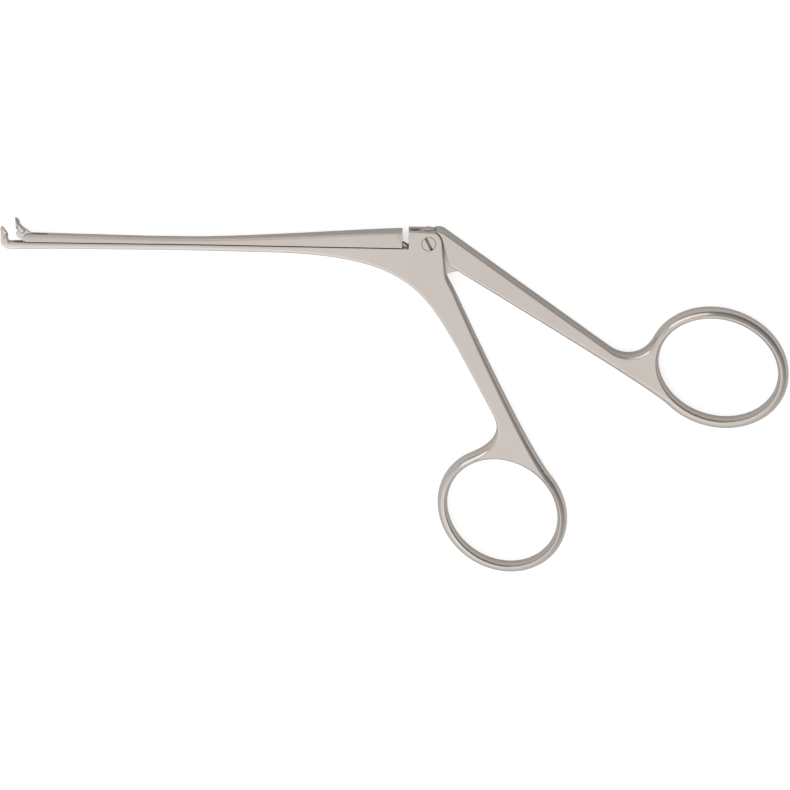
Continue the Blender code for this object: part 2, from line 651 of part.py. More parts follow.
def turned_piece(forceps, name, profile, colour, roughness, origin=(0.0, 0.0), segments=36):
    """A round piece turned about Z from its outer side, given from top to bottom."""
    bm = bmesh.new()
    verts = [bm.verts.new((radius, 0, height)) for radius, height in profile]
    for upper, lower in zip(verts, verts[1:]):
        bm.edges.new((upper, lower))
    item = forceps.part(name, bm, colour, roughness, origin)
    screw = item.modifiers.new("turn", "SCREW")
    screw.steps = segments
    screw.render_steps = segments
    screw.use_merge_vertices = True
    screw.merge_threshold = 1e-7
    return item


def build_screw(forceps):
    """Slotted pivot screw with a flush head."""
    top, bottom = HALF_HANDLE, -HALF_HANDLE + SCREW_SHORT_OF_BACK
    head, shank, chamfer = SCREW_HEAD_RADIUS, SCREW_SHANK_RADIUS, SCREW_CHAMFER
    seat = top - SCREW_HEAD_DEPTH
    profile = [
        (0, top), (head - chamfer, top), (head, top - chamfer), (head, seat),
        (shank, seat), (shank, bottom + chamfer), (shank - chamfer, bottom), (0, bottom)]
    screw = turned_piece(forceps, "pivot_screw", profile, (0.62, 0.60, 0.57), 0.28)
    side, floor, over = SCREW_SLOT_WIDTH / 2, top - SCREW_SLOT_DEPTH, top + OVERCUT
    reach = head + KEEP_CLEAR
    slot = prism([(-side, floor), (side, floor), (side, over), (-side, over)], -reach, reach)
    forceps.shape(screw, "DIFFERENCE", "screw_slot", slot, SCREW_SLOT_ANGLE)


def build_pins(forceps):
    """The jaw's pivot pin in the lower bar, and the pin by which the slide drives it."""
    half = HALF_SHAFT - PIN_SHORT_OF_FACE
    chamfer = PIN_CLEARANCE
    profile = [
        (0, half), (PIN_RADIUS - chamfer, half), (PIN_RADIUS, half - chamfer),
        (PIN_RADIUS, chamfer - half), (PIN_RADIUS - chamfer, -half), (0, -half)]
    for name, place in (("jaw_pivot_pin", JAW_PIN), ("jaw_drive_pin", DRIVE_PIN)):
        turned_piece(forceps, name, profile, (0.55, 0.53, 0.50), 0.35, place, 20)


def lug_outline():
    """Side view of the jaw's lug from its pin, shut: eye, back, cup root and heel."""
    root = cup_middle()
    shape = Outline(SHARP_EDGE)
    shape.arc((0, 0), LUG_EYE_RADIUS, math.pi, 2 * math.pi, 8)
    shape.line((0.62, PIN_SPACING), (0.6, PIN_SPACING + 0.75), (0.25, PIN_SPACING + 1.1))
    shape.line(*from_point(root, (3.23, -0.12), (2.46, -0.04), (1.79, 0.06), (1.28, 0.22), (0.73, 0.3)))
    shape.line(*from_point(root, (0.53, -0.2), (0.81, -0.94), (1.28, -1.12), (1.37, -1.5), (1.27, -1.78)))
    shape.line((-2.6, 0.84), (-2.42, 0.78), (-2.3, 0.64), (-2.0, 0.58), (-1.3, 0.62), (-0.8, 0.42))
    return shape


def neck_outline():
    """Side view of the thick neck between the lug and the cup, from the jaw's pin."""
    root = cup_middle()
    shape = Outline(STEM_EDGE)
    shape.line(*from_point(root, (2.53, -1.05), (2.58, -0.35), (2.41, -0.06), (1.79, 0.04), (1.33, 0.2)))
    shape.line(*from_point(root, (0.68, 0.3), (0.58, -0.25), (0.91, -0.85), (1.31, -1.05), (1.93, -1.25)))
    return shape


def drive_slot_outline():
    """Side view of the jaw's slotted hole, in which the drive pin moves a little outward and back."""
    way = QUARTER_TURN + JAW_SWING / 2
    hole = PIN_RADIUS + PIN_CLEARANCE
    near, far = PIN_SPACING, PIN_SPACING / math.cos(JAW_SWING / 2)
    slot = Outline(SHARP_EDGE)
    slot.arc(far * heading(way), hole, way - QUARTER_TURN, way + QUARTER_TURN, 10)
    slot.arc(near * heading(way), hole, way + QUARTER_TURN, way + 3 * QUARTER_TURN, 10)
    return slot


def build_cup_jaw(forceps):
    """The moving cup on its lug, modelled shut and turned open about its pin."""
    bm = plate([lug_outline()], LUG_THICKNESS / 2, 1)
    jaw = forceps.part("cup_jaw", bm, (0.56, 0.54, 0.51), 0.26, JAW_PIN, -JAW_SWING)
    centre = cup_middle() - CUP_GAP * turned((0, 1), CUP_RIM_ANGLE)
    forceps.shape(jaw, "UNION", "jaw_neck", plate([neck_outline()], NECK_THICKNESS / 2, 2))
    forceps.shape(jaw, "UNION", "jaw_cup_shell", half_egg(centre, -1))
    forceps.shape(jaw, "DIFFERENCE", "jaw_cup_hollow", egg(centre, CUP_WALL))
    forceps.shape(jaw, "DIFFERENCE", "jaw_pivot_hole", rod((0, 0), PIN_RADIUS + PIN_CLEARANCE, segments=20))
    forceps.shape(jaw, "DIFFERENCE", "jaw_drive_slot", plate([drive_slot_outline()], SHAFT_THICKNESS / 2, 1))


def main():
    """Clear the scene, build every piece and lay the instrument down."""
    for item in list(bpy.data.objects):
        bpy.data.objects.remove(item)
    forceps = Forceps()
    build_fixed_handle(forceps)
    build_slide(forceps)
    build_thumb_handle(forceps)
    build_screw(forceps)
    build_pins(forceps)
    build_cup_jaw(forceps)
    forceps.rest_on_table()


main()
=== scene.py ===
"""Cup forceps in satin stainless steel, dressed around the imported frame.

Each piece of the instrument is a class that draws its solid in millimetres from the axis of the
pivot screw, works it with cutters and brings it into the frame's metres in its own finish. The
places of the screw and the pins, the thicknesses and the swings come from the frame.
"""

from __future__ import annotations

import json
import logging
import math
from dataclasses import dataclass, field
from enum import Enum
from typing import Iterable, Sequence

import bmesh
import bpy
from mathutils import Matrix, Vector
from mathutils.geometry import interpolate_bezier

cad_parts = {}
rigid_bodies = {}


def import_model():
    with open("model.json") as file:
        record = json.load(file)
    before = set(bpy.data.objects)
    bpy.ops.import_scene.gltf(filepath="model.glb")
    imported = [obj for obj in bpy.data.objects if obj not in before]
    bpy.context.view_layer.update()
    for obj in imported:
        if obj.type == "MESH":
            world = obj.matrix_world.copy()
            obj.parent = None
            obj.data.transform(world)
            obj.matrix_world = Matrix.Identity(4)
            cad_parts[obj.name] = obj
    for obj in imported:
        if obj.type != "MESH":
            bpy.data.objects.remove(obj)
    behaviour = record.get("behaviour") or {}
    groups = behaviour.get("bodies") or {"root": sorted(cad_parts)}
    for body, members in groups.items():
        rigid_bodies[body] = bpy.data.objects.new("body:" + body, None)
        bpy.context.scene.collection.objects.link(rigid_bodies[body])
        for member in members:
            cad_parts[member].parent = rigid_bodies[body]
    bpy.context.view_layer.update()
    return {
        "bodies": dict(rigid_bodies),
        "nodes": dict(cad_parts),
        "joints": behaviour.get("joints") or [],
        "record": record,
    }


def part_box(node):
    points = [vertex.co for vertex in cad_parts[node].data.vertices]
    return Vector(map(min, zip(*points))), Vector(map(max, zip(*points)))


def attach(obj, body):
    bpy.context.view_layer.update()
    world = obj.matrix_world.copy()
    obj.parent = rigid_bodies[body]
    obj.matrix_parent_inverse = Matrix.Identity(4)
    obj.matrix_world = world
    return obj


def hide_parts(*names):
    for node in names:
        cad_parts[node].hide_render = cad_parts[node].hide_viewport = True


LOG = logging.getLogger("cup_forceps")

MM = 0.001
QUARTER_TURN = math.pi / 2

# Fits of the cutters and moving parts, in millimetres.
OVERCUT = 2.0
KEEP_CLEAR = 0.2
RUNNING_CLEARANCE = 0.05
WELD_DISTANCE = 1e-5

# How far each kind of edge is rounded: inwards over the face, and down the wall.
Edge = tuple[float, float]
SHARP_EDGE: Edge = (0.08, 0.08)
STEM_EDGE: Edge = (0.5, 0.65)
NECK_EDGE: Edge = (0.3, 0.45)
BAR_EDGE: Edge = (0.74, 0.7)
GROOVE_EDGE: Edge = (0.34, 0.35)
ARM_EDGE: Edge = (0.35, 0.35)
SHAFT_EDGE: Edge = (0.62, 0.6)
RING_EDGE: Edge = (1.25, 1.95)
RING_HOLE_EDGE: Edge = (0.62, 1.7)
CREST = math.radians(66.0)
EDGE_LAYERS = ("outward", "drop", "turn", "face")

# Fineness of the curves.
EDGE_STEPS = 8
RING_STEPS = 168
ROUND_STEPS = 72
BAR_STEPS = 121
THREAD_STEPS = 48
RIDGE_STEPS = 10
EGG_STEPS = 40
SHARP_ANGLE = math.radians(19)

# The rings are thinner than their arms: by this share, over this stretch of the half width.
RING_SHARE = 0.88
RING_THINS_FROM = -0.95
RING_THINS_TO = -0.1
RING_CUTS = 5
RING_REACH = 22.0

# Steel finish: polished places, then scale, detail and roughness of each noise; metres.
RING_POLISH_REACH = 0.0145
CUP_POLISH_REACH = 0.004
POLISH_FADE = 1.2
GRAIN_NOISE = (5200.0, 5.0, 0.65)
CLOUD_NOISE = (85.0, 4.0, 0.55)
SPECK_NOISE = (2600.0, 2.0, 0.5)
GRAIN_STRETCH = 0.035
WEAR_RADIUS = 0.00016
SHADING_SAMPLES = 6
# Dark brown mixed into the steel's colour in nooks found by ambient occlusion: painted shade.
PAINTED_SHADE_COLOUR = (0.11, 0.095, 0.08, 1.0)
WHITE = (1.0, 1.0, 1.0, 1.0)


class Work(Enum):
    """What a shape does to the blank it is put to."""

    JOIN = "UNION"
    CUT = "DIFFERENCE"


class Side(Enum):
    """Side of a finger ring's band."""

    OUTER = 1
    INNER = -1


def heading(angle: float) -> Vector:
    """Unit vector in the XY plane at an angle from +X."""
    return Vector((math.cos(angle), math.sin(angle)))


def turned(point: Sequence[float], angle: float) -> Vector:
    """A point turned about the origin of the XY plane."""
    return Matrix.Rotation(angle, 2) @ Vector(point)


def spread(start: float, stop: float, steps: int) -> list[float]:
    """Evenly spaced values from start to stop, both included."""
    return [start + (stop - start) * i / steps for i in range(steps + 1)]


def clamped(value: float) -> float:
    """A value held between 0 and 1."""
    return min(max(value, 0.0), 1.0)


def from_point(start: Vector, *offsets: Sequence[float]) -> list[Vector]:
    """Points given by their offsets from one point."""
    return [start + Vector(offset) for offset in offsets]


@dataclass(frozen=True)
class Bench:
    """Places and sizes that several pieces share, in millimetres from the axis of the pivot screw.

    Attributes:
        axis: Place of the screw's axis in the frame, in metres.
        half_handle: Half thickness of the handles.
        jaw_pin: Place of the jaw's pin.
        drive_pin: Place of the drive pin with the jaw open.
        pin_half_length: Half length of the pins of the solids.
        pin_radius: Radius of both pins.
        screw_head_radius: Radius of the screw's head.
        screw_bottom: Height of the screw's end.
        handle_swing: Turn of the thumb handle from open to shut.
        jaw_swing: Turn of the jaw from open to shut.
        pin_depth: Depth of the jaw's pin below the parting plane.
        half_shaft: Half thickness of the slim shaft.
        slim_from: Distance from the screw at which the shaft is slim.
        stem_half: Half thickness of the stem under the fixed cup.
        stem_swell: Length over which the stem's thickness changes.
        notch_front: Distance from the screw to the box joint's front face.
        notch_width: Width of the notch behind the slide.
        bar_clearance: Gap between the two bars.
        pin_clearance: Gap round the pins.
        pin_cover: Steel left over the pins' ground ends.
        shank_radius: Radius of the screw's shank.
        head_depth: Depth of the screw's head.
        rear_lean: Lean of the box joint's rear face.
        lobe_radius: Reach of the tang's lobe.
        knob_radius: Radius of the slide's round end.
        tail_angle: Direction in which the slide's tail leaves its round end.
        tail_neck_width: Width of the tail there.
    """

    axis: Vector
    half_handle: float
    jaw_pin: Vector
    drive_pin: Vector
    pin_half_length: float
    pin_radius: float
    screw_head_radius: float
    screw_bottom: float
    handle_swing: float
    jaw_swing: float
    pin_depth: float = 0.58
    half_shaft: float = 1.25
    slim_from: float = 46.0
    stem_half: float = 1.0
    stem_swell: float = 2.0
    notch_front: float = 4.04
    notch_width: float = 1.28
    bar_clearance: float = 0.17
    pin_clearance: float = 0.01
    pin_cover: float = 0.2
    shank_radius: float = 0.95
    head_depth: float = 0.75
    rear_lean: float = math.radians(5.5)
    lobe_radius: float = 7.494
    knob_radius: float = 0.9
    tail_angle: float = math.radians(155.0)
    tail_neck_width: float = 1.0

    @classmethod
    def from_frame(cls, frame: dict) -> Bench:
        """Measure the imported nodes.


        Returns:
            The bench on which every piece is drawn.
        """
        screw_low, screw_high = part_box("pivot_screw")
        handle_low, handle_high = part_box("fixed_handle")
        pin_low, pin_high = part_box("jaw_pivot_pin")
        drive_low, drive_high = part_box("jaw_drive_pin")
        axis = (screw_low + screw_high) / 2
        axis.z = (handle_low.z + handle_high.z) / 2
        swings = {joint["name"]: joint for joint in frame["joints"]}
        return cls(
            axis=axis,
            half_handle=(handle_high.z - handle_low.z) / 2 / MM,
            jaw_pin=(((pin_low + pin_high) / 2 - axis) / MM).to_2d(),
            drive_pin=(((drive_low + drive_high) / 2 - axis) / MM).to_2d(),
            pin_half_length=(pin_high.z - pin_low.z) / 2 / MM,
            pin_radius=(pin_high.x - pin_low.x) / 2 / MM,
            screw_head_radius=(screw_high.x - screw_low.x) / 2 / MM,
            screw_bottom=(screw_low.z - axis.z) / MM,
            handle_swing=math.radians(swings["handle_pivot"]["range_deg"][1]),
            jaw_swing=math.radians(round(swings["jaw_pivot"]["range_deg"][1])),
        )

    @property
    def parting(self) -> float:
        """Height of the plane between the two bars of the shaft."""
        return self.jaw_pin.y + self.pin_depth

    @property
    def pin_spacing(self) -> float:
        """Height of the drive pin above the jaw's pin."""
        return self.drive_pin.y - self.jaw_pin.y

    @property
    def pin_half(self) -> float:
        """Half length of the pins, whose ends are closed over when the faces are ground."""
        return min(self.pin_half_length, self.half_shaft - self.pin_cover)

    @property
    def pin_bore(self) -> float:
        """Radius of the holes for the pins."""
        return self.pin_radius + self.pin_clearance

    @property
    def bore_half(self) -> float:
        """Half depth of the holes that hold the pins."""
        return self.pin_half + self.pin_clearance

    @property
    def slide_travel(self) -> float:
        """Way of the slide from open to shut."""
        return 2 * (self.drive_pin.x - self.jaw_pin.x)

    @property
    def knob(self) -> Vector:
        """Centre of the slide's round end in the thumb handle."""
        half = self.slide_travel / 2
        return Vector((half, -half / math.tan(self.handle_swing / 2)))

    @property
    def slide_rear(self) -> float:
        """Rear end of the slide, in front of the notch."""
        return -self.notch_front - self.notch_width

    def to_frame(self) -> Matrix:
        """Matrix from millimetres on the bench to metres in the frame."""
        return Matrix.Translation(self.axis) @ Matrix.Scale(MM, 4)

    def shaft_half(self, x: float) -> float:
        """Half thickness at a place along the shaft: full at the box joint, slim further on."""
        share = clamped((x + self.slim_from) / (self.slim_from - self.notch_front))
        stem = clamped((self.jaw_pin.x - self.stem_swell - x) / self.stem_swell)
        half = self.half_shaft + (self.half_handle - self.half_shaft) * share
        return half + (self.stem_half - self.half_shaft) * stem


@dataclass(frozen=True)
class Ring:
    """An oval finger ring, drawn as an ellipse on each side of its band."""

    centre: tuple[float, float]
    half_length: float
    half_width: float
    tilt: float
    band: float

    @property
    def middle(self) -> Vector:
        """Centre as a vector."""
        return Vector(self.centre)

    def point(self, angle: float, side: Side) -> Vector:
        """Point on one side of the band."""
        grow = side.value * self.band / 2
        across = (self.half_length + grow) * math.cos(angle)
        up = (self.half_width + grow) * math.sin(angle)
        return self.middle + turned((across, up), self.tilt)

    def direction(self, angle: float) -> float:
        """Angle of the counterclockwise tangent on the outer side."""
        grow = self.band / 2
        across = -(self.half_length + grow) * math.sin(angle)
        up = (self.half_width + grow) * math.cos(angle)
        along = turned((across, up), self.tilt)
        return math.atan2(along.y, along.x)

    def hole(self) -> Outline:
        """Inner side of the band, run clockwise."""
        turn = 2 * math.pi
        hole = Outline(RING_HOLE_EDGE)
        return hole.around(self, turn, turn / RING_STEPS, Side.INNER, RING_STEPS - 1)


class Outline:
    """A closed outline in the XY plane whose points each carry the rounding of their edge."""

    def __init__(self, rounding: Edge) -> None:
        self.points: list[Vector] = []
        self.roundings: list[Edge] = []
        self.rounding = rounding

    def add(self, point: Sequence[float], rounding: Edge | None = None) -> Outline:
        """Add one corner; later points keep its rounding unless they state another."""
        self.rounding = rounding or self.rounding
        self.points.append(Vector(point))
        self.roundings.append(self.rounding)
        return self

    def line(self, *corners: Sequence[float], rounding: Edge | None = None) -> Outline:
        """Add corners joined by straight edges."""
        for corner in corners:
            self.add(corner, rounding)
        return self

    def arc(
        self, centre: Sequence[float], radius: float, start: float, stop: float, steps: int = 20,
    ) -> Outline:
        """Add a round stretch about a centre, both ends included."""
        for angle in spread(start, stop, steps):
            self.add(Vector(centre) + radius * heading(angle))
        return self

    def curve(
        self, end: Sequence[float], leave: float, arrive: float, pulls: tuple[float, float],
        steps: int = 24, rounding: Edge | None = None,
    ) -> Outline:
        """Add a smooth stretch from the last point, blending its edge rounding to the new one.

        Args:
            end: Last point of the stretch.
            leave: Direction in which it leaves, as an angle.
            arrive: Direction in which it arrives.
            pulls: How much of the straight distance each direction holds.
            steps: Number of straight bits.
            rounding: Edge rounding at the end.

        Returns:
            The outline itself.
        """
        start, stop = self.points[-1], Vector(end)
        before, after = self.rounding, rounding or self.rounding
        length = (stop - start).length
        first = start + heading(leave) * length * pulls[0]
        second = stop - heading(arrive) * length * pulls[1]
        path = interpolate_bezier(start, first, second, stop, steps + 1)
        for i, point in enumerate(path[1:], 1):
            share = i / steps
            mixed = tuple(a + (b - a) * share for a, b in zip(before, after))
            self.add(point.to_2d(), mixed)
        return self

    def around(self, ring: Ring, start: float, stop: float, side: Side, steps: int) -> Outline:
        """Add a stretch of a finger ring's side."""
        rounding = RING_EDGE if side is Side.OUTER else RING_HOLE_EDGE
        for angle in spread(start, stop, steps):
            self.add(ring.point(angle, side), rounding)
        return self

    def inward(self) -> list[Vector]:
        """Direction and share by which each corner moves when the edges are drawn in."""
        count = len(self.points)
        normals = []
        for i in range(count):
            along = (self.points[(i + 1) % count] - self.points[i]).normalized()
            normals.append(Vector((-along.y, along.x)))
        pairs = [(normals[i - 1], normals[i]) for i in range(count)]
        return [(before + after) / (1 + before.dot(after)) for before, after in pairs]


class Tree:
    """A Geometry Nodes tree with named inputs, ending in Realize Instances and Set Material."""

    def __init__(self, name: str, sizes: Iterable[str], takes_geometry: bool) -> None:
        self.group = bpy.data.node_groups.new(name, "GeometryNodeTree")
        interface = self.group.interface
        if takes_geometry:
            interface.new_socket("Geometry", in_out="INPUT", socket_type="NodeSocketGeometry")
        for size in sizes:
            interface.new_socket(size, in_out="INPUT", socket_type="NodeSocketFloat")
        interface.new_socket("Material", in_out="INPUT", socket_type="NodeSocketMaterial")
        interface.new_socket("Geometry", in_out="OUTPUT", socket_type="NodeSocketGeometry")
        self.inputs = self.group.nodes.new("NodeGroupInput").outputs

    def node(self, kind: str, *sources: object, **settings: object) -> bpy.types.Node:
        """Add a node.

        Args:
            kind: The node's type.
            sources: Sockets or plain values for its inputs in order; None leaves one as it is.
            settings: Properties of the node.

        Returns:
            The node.
        """
        node = self.group.nodes.new(kind)
        for key, value in settings.items():
            setattr(node, key, value)
        for socket, source in zip([s for s in node.inputs if s.enabled], sources):
            if isinstance(source, bpy.types.NodeSocket):
                self.group.links.new(source, socket)
            elif source is not None:
                socket.default_value = source
        return node

    def maths(self, operation: str, *sources: object) -> bpy.types.NodeSocket:
        """Result of a Math node."""
        return self.node("ShaderNodeMath", *sources, operation=operation).outputs[0]

    def attribute(self, name: str, kind: str = "FLOAT") -> bpy.types.NodeSocket:
        """A named attribute of the geometry."""
        source = self.node("GeometryNodeInputNamedAttribute", name, data_type=kind)
        return source.outputs["Attribute"]

    def finish(self, geometry: bpy.types.NodeSocket) -> None:
        """Realize the geometry, give it its material and hand it out."""
        real = self.node("GeometryNodeRealizeInstances", geometry)
        dressed = self.node("GeometryNodeSetMaterial", real.outputs[0])
        self.group.links.new(self.inputs["Material"], dressed.inputs["Material"])
        out = self.group.nodes.new("NodeGroupOutput")
        self.group.links.new(dressed.outputs[0], out.inputs[0])

    def grow(self, name: str, mesh: bpy.types.Mesh, values: dict[str, object]) -> bpy.types.Mesh:
        """Run the tree once.

        Args:
            name: Name of the mesh that comes out.
            mesh: Mesh that goes in.
            values: Value of each named input.

        Returns:
            The plain mesh that the tree makes.
        """
        item = bpy.data.objects.new(name, mesh)
        bpy.context.scene.collection.objects.link(item)
        modifier = item.modifiers.new(name, "NODES")
        modifier.node_group = self.group
        for socket in self.group.interface.items_tree:
            if socket.in_out == "INPUT" and socket.name in values:
                modifier[socket.identifier] = values[socket.name]
        graph = bpy.context.evaluated_depsgraph_get()
        grown = bpy.data.meshes.new_from_object(item.evaluated_get(graph))
        bpy.data.objects.remove(item)
        bpy.data.meshes.remove(mesh)
        return grown


class PlateTree(Tree):
    """Rounds the edges of a flat plate.

    Each layer of its wall is moved along an oval section. The oval is cut off at the crest angle,
    so that a soft crease stays round the flat face.
    """

    def __init__(self) -> None:
        super().__init__("forged_plate", ["Half Thickness", "Crest"], takes_geometry=True)
        turn = self.attribute("turn")
        crest = self.inputs["Crest"]
        outward = self.attribute("outward", "FLOAT_VECTOR")
        reach = self.node("ShaderNodeVectorMath", outward, operation="SCALE")
        inset = self.maths("SUBTRACT", self.maths("COSINE", turn), self.maths("COSINE", crest))
        outset = self.maths("DIVIDE", inset, self.maths("SUBTRACT", 1.0, self.maths("COSINE", crest)))
        self.group.links.new(outset, reach.inputs["Scale"])
        risen = self.maths("DIVIDE", self.maths("SINE", turn), self.maths("SINE", crest))
        lost = self.maths("MULTIPLY", self.attribute("drop"), self.maths("SUBTRACT", 1.0, risen))
        height = self.maths("SUBTRACT", self.inputs["Half Thickness"], lost)
        signed = self.maths("MULTIPLY", height, self.attribute("face"))
        level = self.node("ShaderNodeCombineXYZ", None, None, signed)
        offset = self.node(
            "ShaderNodeVectorMath", reach.outputs[0], level.outputs[0], operation="ADD")
        moved = self.node("GeometryNodeSetPosition", self.inputs["Geometry"])
        self.group.links.new(offset.outputs[0], moved.inputs["Offset"])
        self.finish(moved.outputs[0])

    def plate(
        self, name: str, outlines: Sequence[Outline], half: float, material: bpy.types.Material,
        steps: int = EDGE_STEPS,
    ) -> bpy.types.Mesh:
        """Draw an outline and its holes as a ribbon of layers, and let the tree forge it.

        Args:
            name: Name of the mesh.
            outlines: Outer outline counterclockwise, then each hole clockwise.
            half: Half thickness.
            material: Finish of the steel.
            steps: Straight bits in each rounded edge.

        Returns:
            The closed plate.
        """
        bm = bmesh.new()
        outward = bm.verts.layers.float_vector.new(EDGE_LAYERS[0])
        values = {key: bm.verts.layers.float.new(key) for key in EDGE_LAYERS[1:]}
        rims: dict[int, list[bmesh.types.BMEdge]] = {1: [], -1: []}
        for outline in outlines:
            moves = outline.inward()
            count = len(outline.points)
            layers = []
            for face, angles in ((1, spread(CREST, 0, steps)), (-1, spread(0, CREST, steps))):
                for angle in angles:
                    layer = []
                    for point, move, (inset, drop) in zip(outline.points, moves, outline.roundings):
                        place = point + move * inset
                        vert = bm.verts.new((place.x, place.y, 0))
                        vert[outward] = (-move.x * inset, -move.y * inset, 0)
                        for key, value in (("drop", drop), ("turn", angle), ("face", face)):
                            vert[values[key]] = value
                        layer.append(vert)
                    layers.append(layer)
            for upper, lower in zip(layers, layers[1:]):
                for i in range(count):
                    j = (i + 1) % count
                    bm.faces.new((lower[i], lower[j], upper[j], upper[i]))
            for face, layer in ((1, layers[0]), (-1, layers[-1])):
                pairs = zip(layer, layer[1:] + layer[:1])
                rims[face] += [bm.edges.get(pair) for pair in pairs]
        for face, edges in rims.items():
            bmesh.ops.triangle_fill(bm, edges=edges, use_beauty=True, normal=(0, 0, face))
        sizes = {"Half Thickness": half, "Crest": CREST, "Material": material}
        return facing_out(self.grow(name, to_mesh(name, bm), sizes))


class BarTree(Tree):
    """Turns a round bar along Z whose two ends are rounded off."""

    def __init__(self) -> None:
        super().__init__("turned_bar", ["Low", "High", "Radius", "Corner"], takes_geometry=False)
        sizes = self.inputs
        low, high = (
            self.node("ShaderNodeCombineXYZ", None, None, sizes[key]) for key in ("Low", "High"))
        line = self.node("GeometryNodeCurvePrimitiveLine", low.outputs[0], high.outputs[0])
        fine = self.node("GeometryNodeResampleCurve", line.outputs[0])
        fine.inputs["Count"].default_value = BAR_STEPS
        along = self.node("GeometryNodeSplineParameter").outputs["Length"]
        length = self.maths("SUBTRACT", sizes["High"], sizes["Low"])
        from_end = self.maths("MINIMUM", along, self.maths("SUBTRACT", length, along))
        corner = sizes["Corner"]
        short = self.maths("MAXIMUM", self.maths("SUBTRACT", corner, from_end), 0.0)
        whole, part = self.maths("POWER", corner, 2.0), self.maths("POWER", short, 2.0)
        left = self.maths("SQRT", self.maths("SUBTRACT", whole, part))
        round_off = self.maths("SUBTRACT", corner, left)
        width = self.maths("SUBTRACT", sizes["Radius"], round_off)
        sized = self.node("GeometryNodeSetCurveRadius", fine.outputs[0])
        self.group.links.new(width, sized.inputs["Radius"])
        circle = self.node("GeometryNodeCurvePrimitiveCircle")
        circle.inputs["Resolution"].default_value = ROUND_STEPS
        swept = self.node("GeometryNodeCurveToMesh", sized.outputs[0], circle.outputs[0])
        self.group.links.new(width, swept.inputs["Scale"])
        swept.inputs["Fill Caps"].default_value = True
        self.finish(swept.outputs[0])

    def bar(
        self, name: str, low: float, high: float, radius: float, material: bpy.types.Material,
        corner: float = 0.08,
    ) -> bpy.types.Mesh:
        """Turn one bar about Z.

        Args:
            name: Name of the mesh.
            low: Height of the lower end.
            high: Height of the upper end.
            radius: Radius of the bar.
            material: Finish of the steel.
            corner: Radius of the rounding at both ends.

        Returns:
            The closed bar.
        """
        values = {
            "Low": low, "High": high, "Radius": radius, "Corner": corner, "Material": material}
        return facing_out(self.grow(name, bpy.data.meshes.new(name), values))


class ThreadTree(Tree):
    """Winds a screw thread: a round ridge swept along a helix."""

    def __init__(self) -> None:
        names = ["Turns", "Radius", "Height", "Low", "Ridge"]
        super().__init__("screw_thread", names, takes_geometry=False)
        sizes = self.inputs
        spiral = self.node("GeometryNodeCurveSpiral", THREAD_STEPS)
        for key, socket in (
                ("Turns", "Rotations"), ("Radius", "Start Radius"), ("Radius", "End Radius"),
                ("Height", "Height")):
            self.group.links.new(sizes[key], spiral.inputs[socket])
        ridge = self.node("GeometryNodeCurvePrimitiveCircle")
        ridge.inputs["Resolution"].default_value = RIDGE_STEPS
        self.group.links.new(sizes["Ridge"], ridge.inputs["Radius"])
        swept = self.node("GeometryNodeCurveToMesh", spiral.outputs[0], ridge.outputs[0])
        swept.inputs["Fill Caps"].default_value = True
        lift = self.node("ShaderNodeCombineXYZ", None, None, sizes["Low"])
        placed = self.node("GeometryNodeSetPosition", swept.outputs[0])
        self.group.links.new(lift.outputs[0], placed.inputs["Offset"])
        self.finish(placed.outputs[0])

    def thread(
        self, name: str, low: float, high: float, radius: float, pitch: float, ridge: float,
        material: bpy.types.Material,
    ) -> bpy.types.Mesh:
        """Wind one thread about Z.

        Args:
            name: Name of the mesh.
            low: Height at which the thread starts.
            high: Height at which it ends.
            radius: Radius of the ridge's middle line.
            pitch: Rise in one turn.
            ridge: Radius of the ridge itself.
            material: Finish of the steel.

        Returns:
            The closed ridge.
        """
        height = high - low
        values = {
            "Turns": height / pitch, "Radius": radius, "Height": height, "Low": low, "Ridge": ridge,
            "Material": material}
        return facing_out(self.grow(name, bpy.data.meshes.new(name), values))


def facing_out(mesh: bpy.types.Mesh) -> bpy.types.Mesh:
    """Close the seams of a mesh and turn its faces outwards."""
    bm = bmesh.new()
    bm.from_mesh(mesh)
    bmesh.ops.remove_doubles(bm, verts=bm.verts, dist=WELD_DISTANCE)
    bmesh.ops.recalc_face_normals(bm, faces=bm.faces)
    bm.to_mesh(mesh)
    bm.free()
    return mesh


def to_mesh(name: str, bm: bmesh.types.BMesh) -> bpy.types.Mesh:
    """Make a mesh of a bmesh and free the bmesh."""
    mesh = bpy.data.meshes.new(name)
    bm.to_mesh(mesh)
    bm.free()
    return mesh


def prism(
    name: str, profile: Sequence[tuple[float, float]], start: float, stop: float,
) -> bpy.types.Mesh:
    """Draw the solid of a closed profile.

    Args:
        name: Name of the mesh.
        profile: Corners (y, z) of the profile.
        start: Place on X of the first end.
        stop: Place on X of the other end.

    Returns:
        The closed solid.
    """
    bm = bmesh.new()
    face = bm.faces.new([bm.verts.new((start, y, z)) for y, z in profile])
    grown = bmesh.ops.extrude_face_region(bm, geom=[face])
    moved = [item for item in grown["geom"] if isinstance(item, bmesh.types.BMVert)]
    bmesh.ops.translate(bm, verts=moved, vec=(stop - start, 0, 0))
    bmesh.ops.recalc_face_normals(bm, faces=bm.faces)
    return to_mesh(name, bm)


def rod(
    name: str, centre: Sequence[float], radius: float, low: float, high: float,
) -> bpy.types.Mesh:
    """Draw a round cutter along Z.

    Args:
        name: Name of the mesh.
        centre: Place of its axis.
        radius: Radius of the cutter.
        low: Height of its lower end.
        high: Height of its upper end.

    Returns:
        The closed cutter.
    """
    bm = bmesh.new()
    place = Matrix.Translation((centre[0], centre[1], (low + high) / 2))
    bmesh.ops.create_cone(
        bm, cap_ends=True, segments=ROUND_STEPS, radius1=radius, radius2=radius,
        depth=high - low, matrix=place)
    return to_mesh(name, bm)


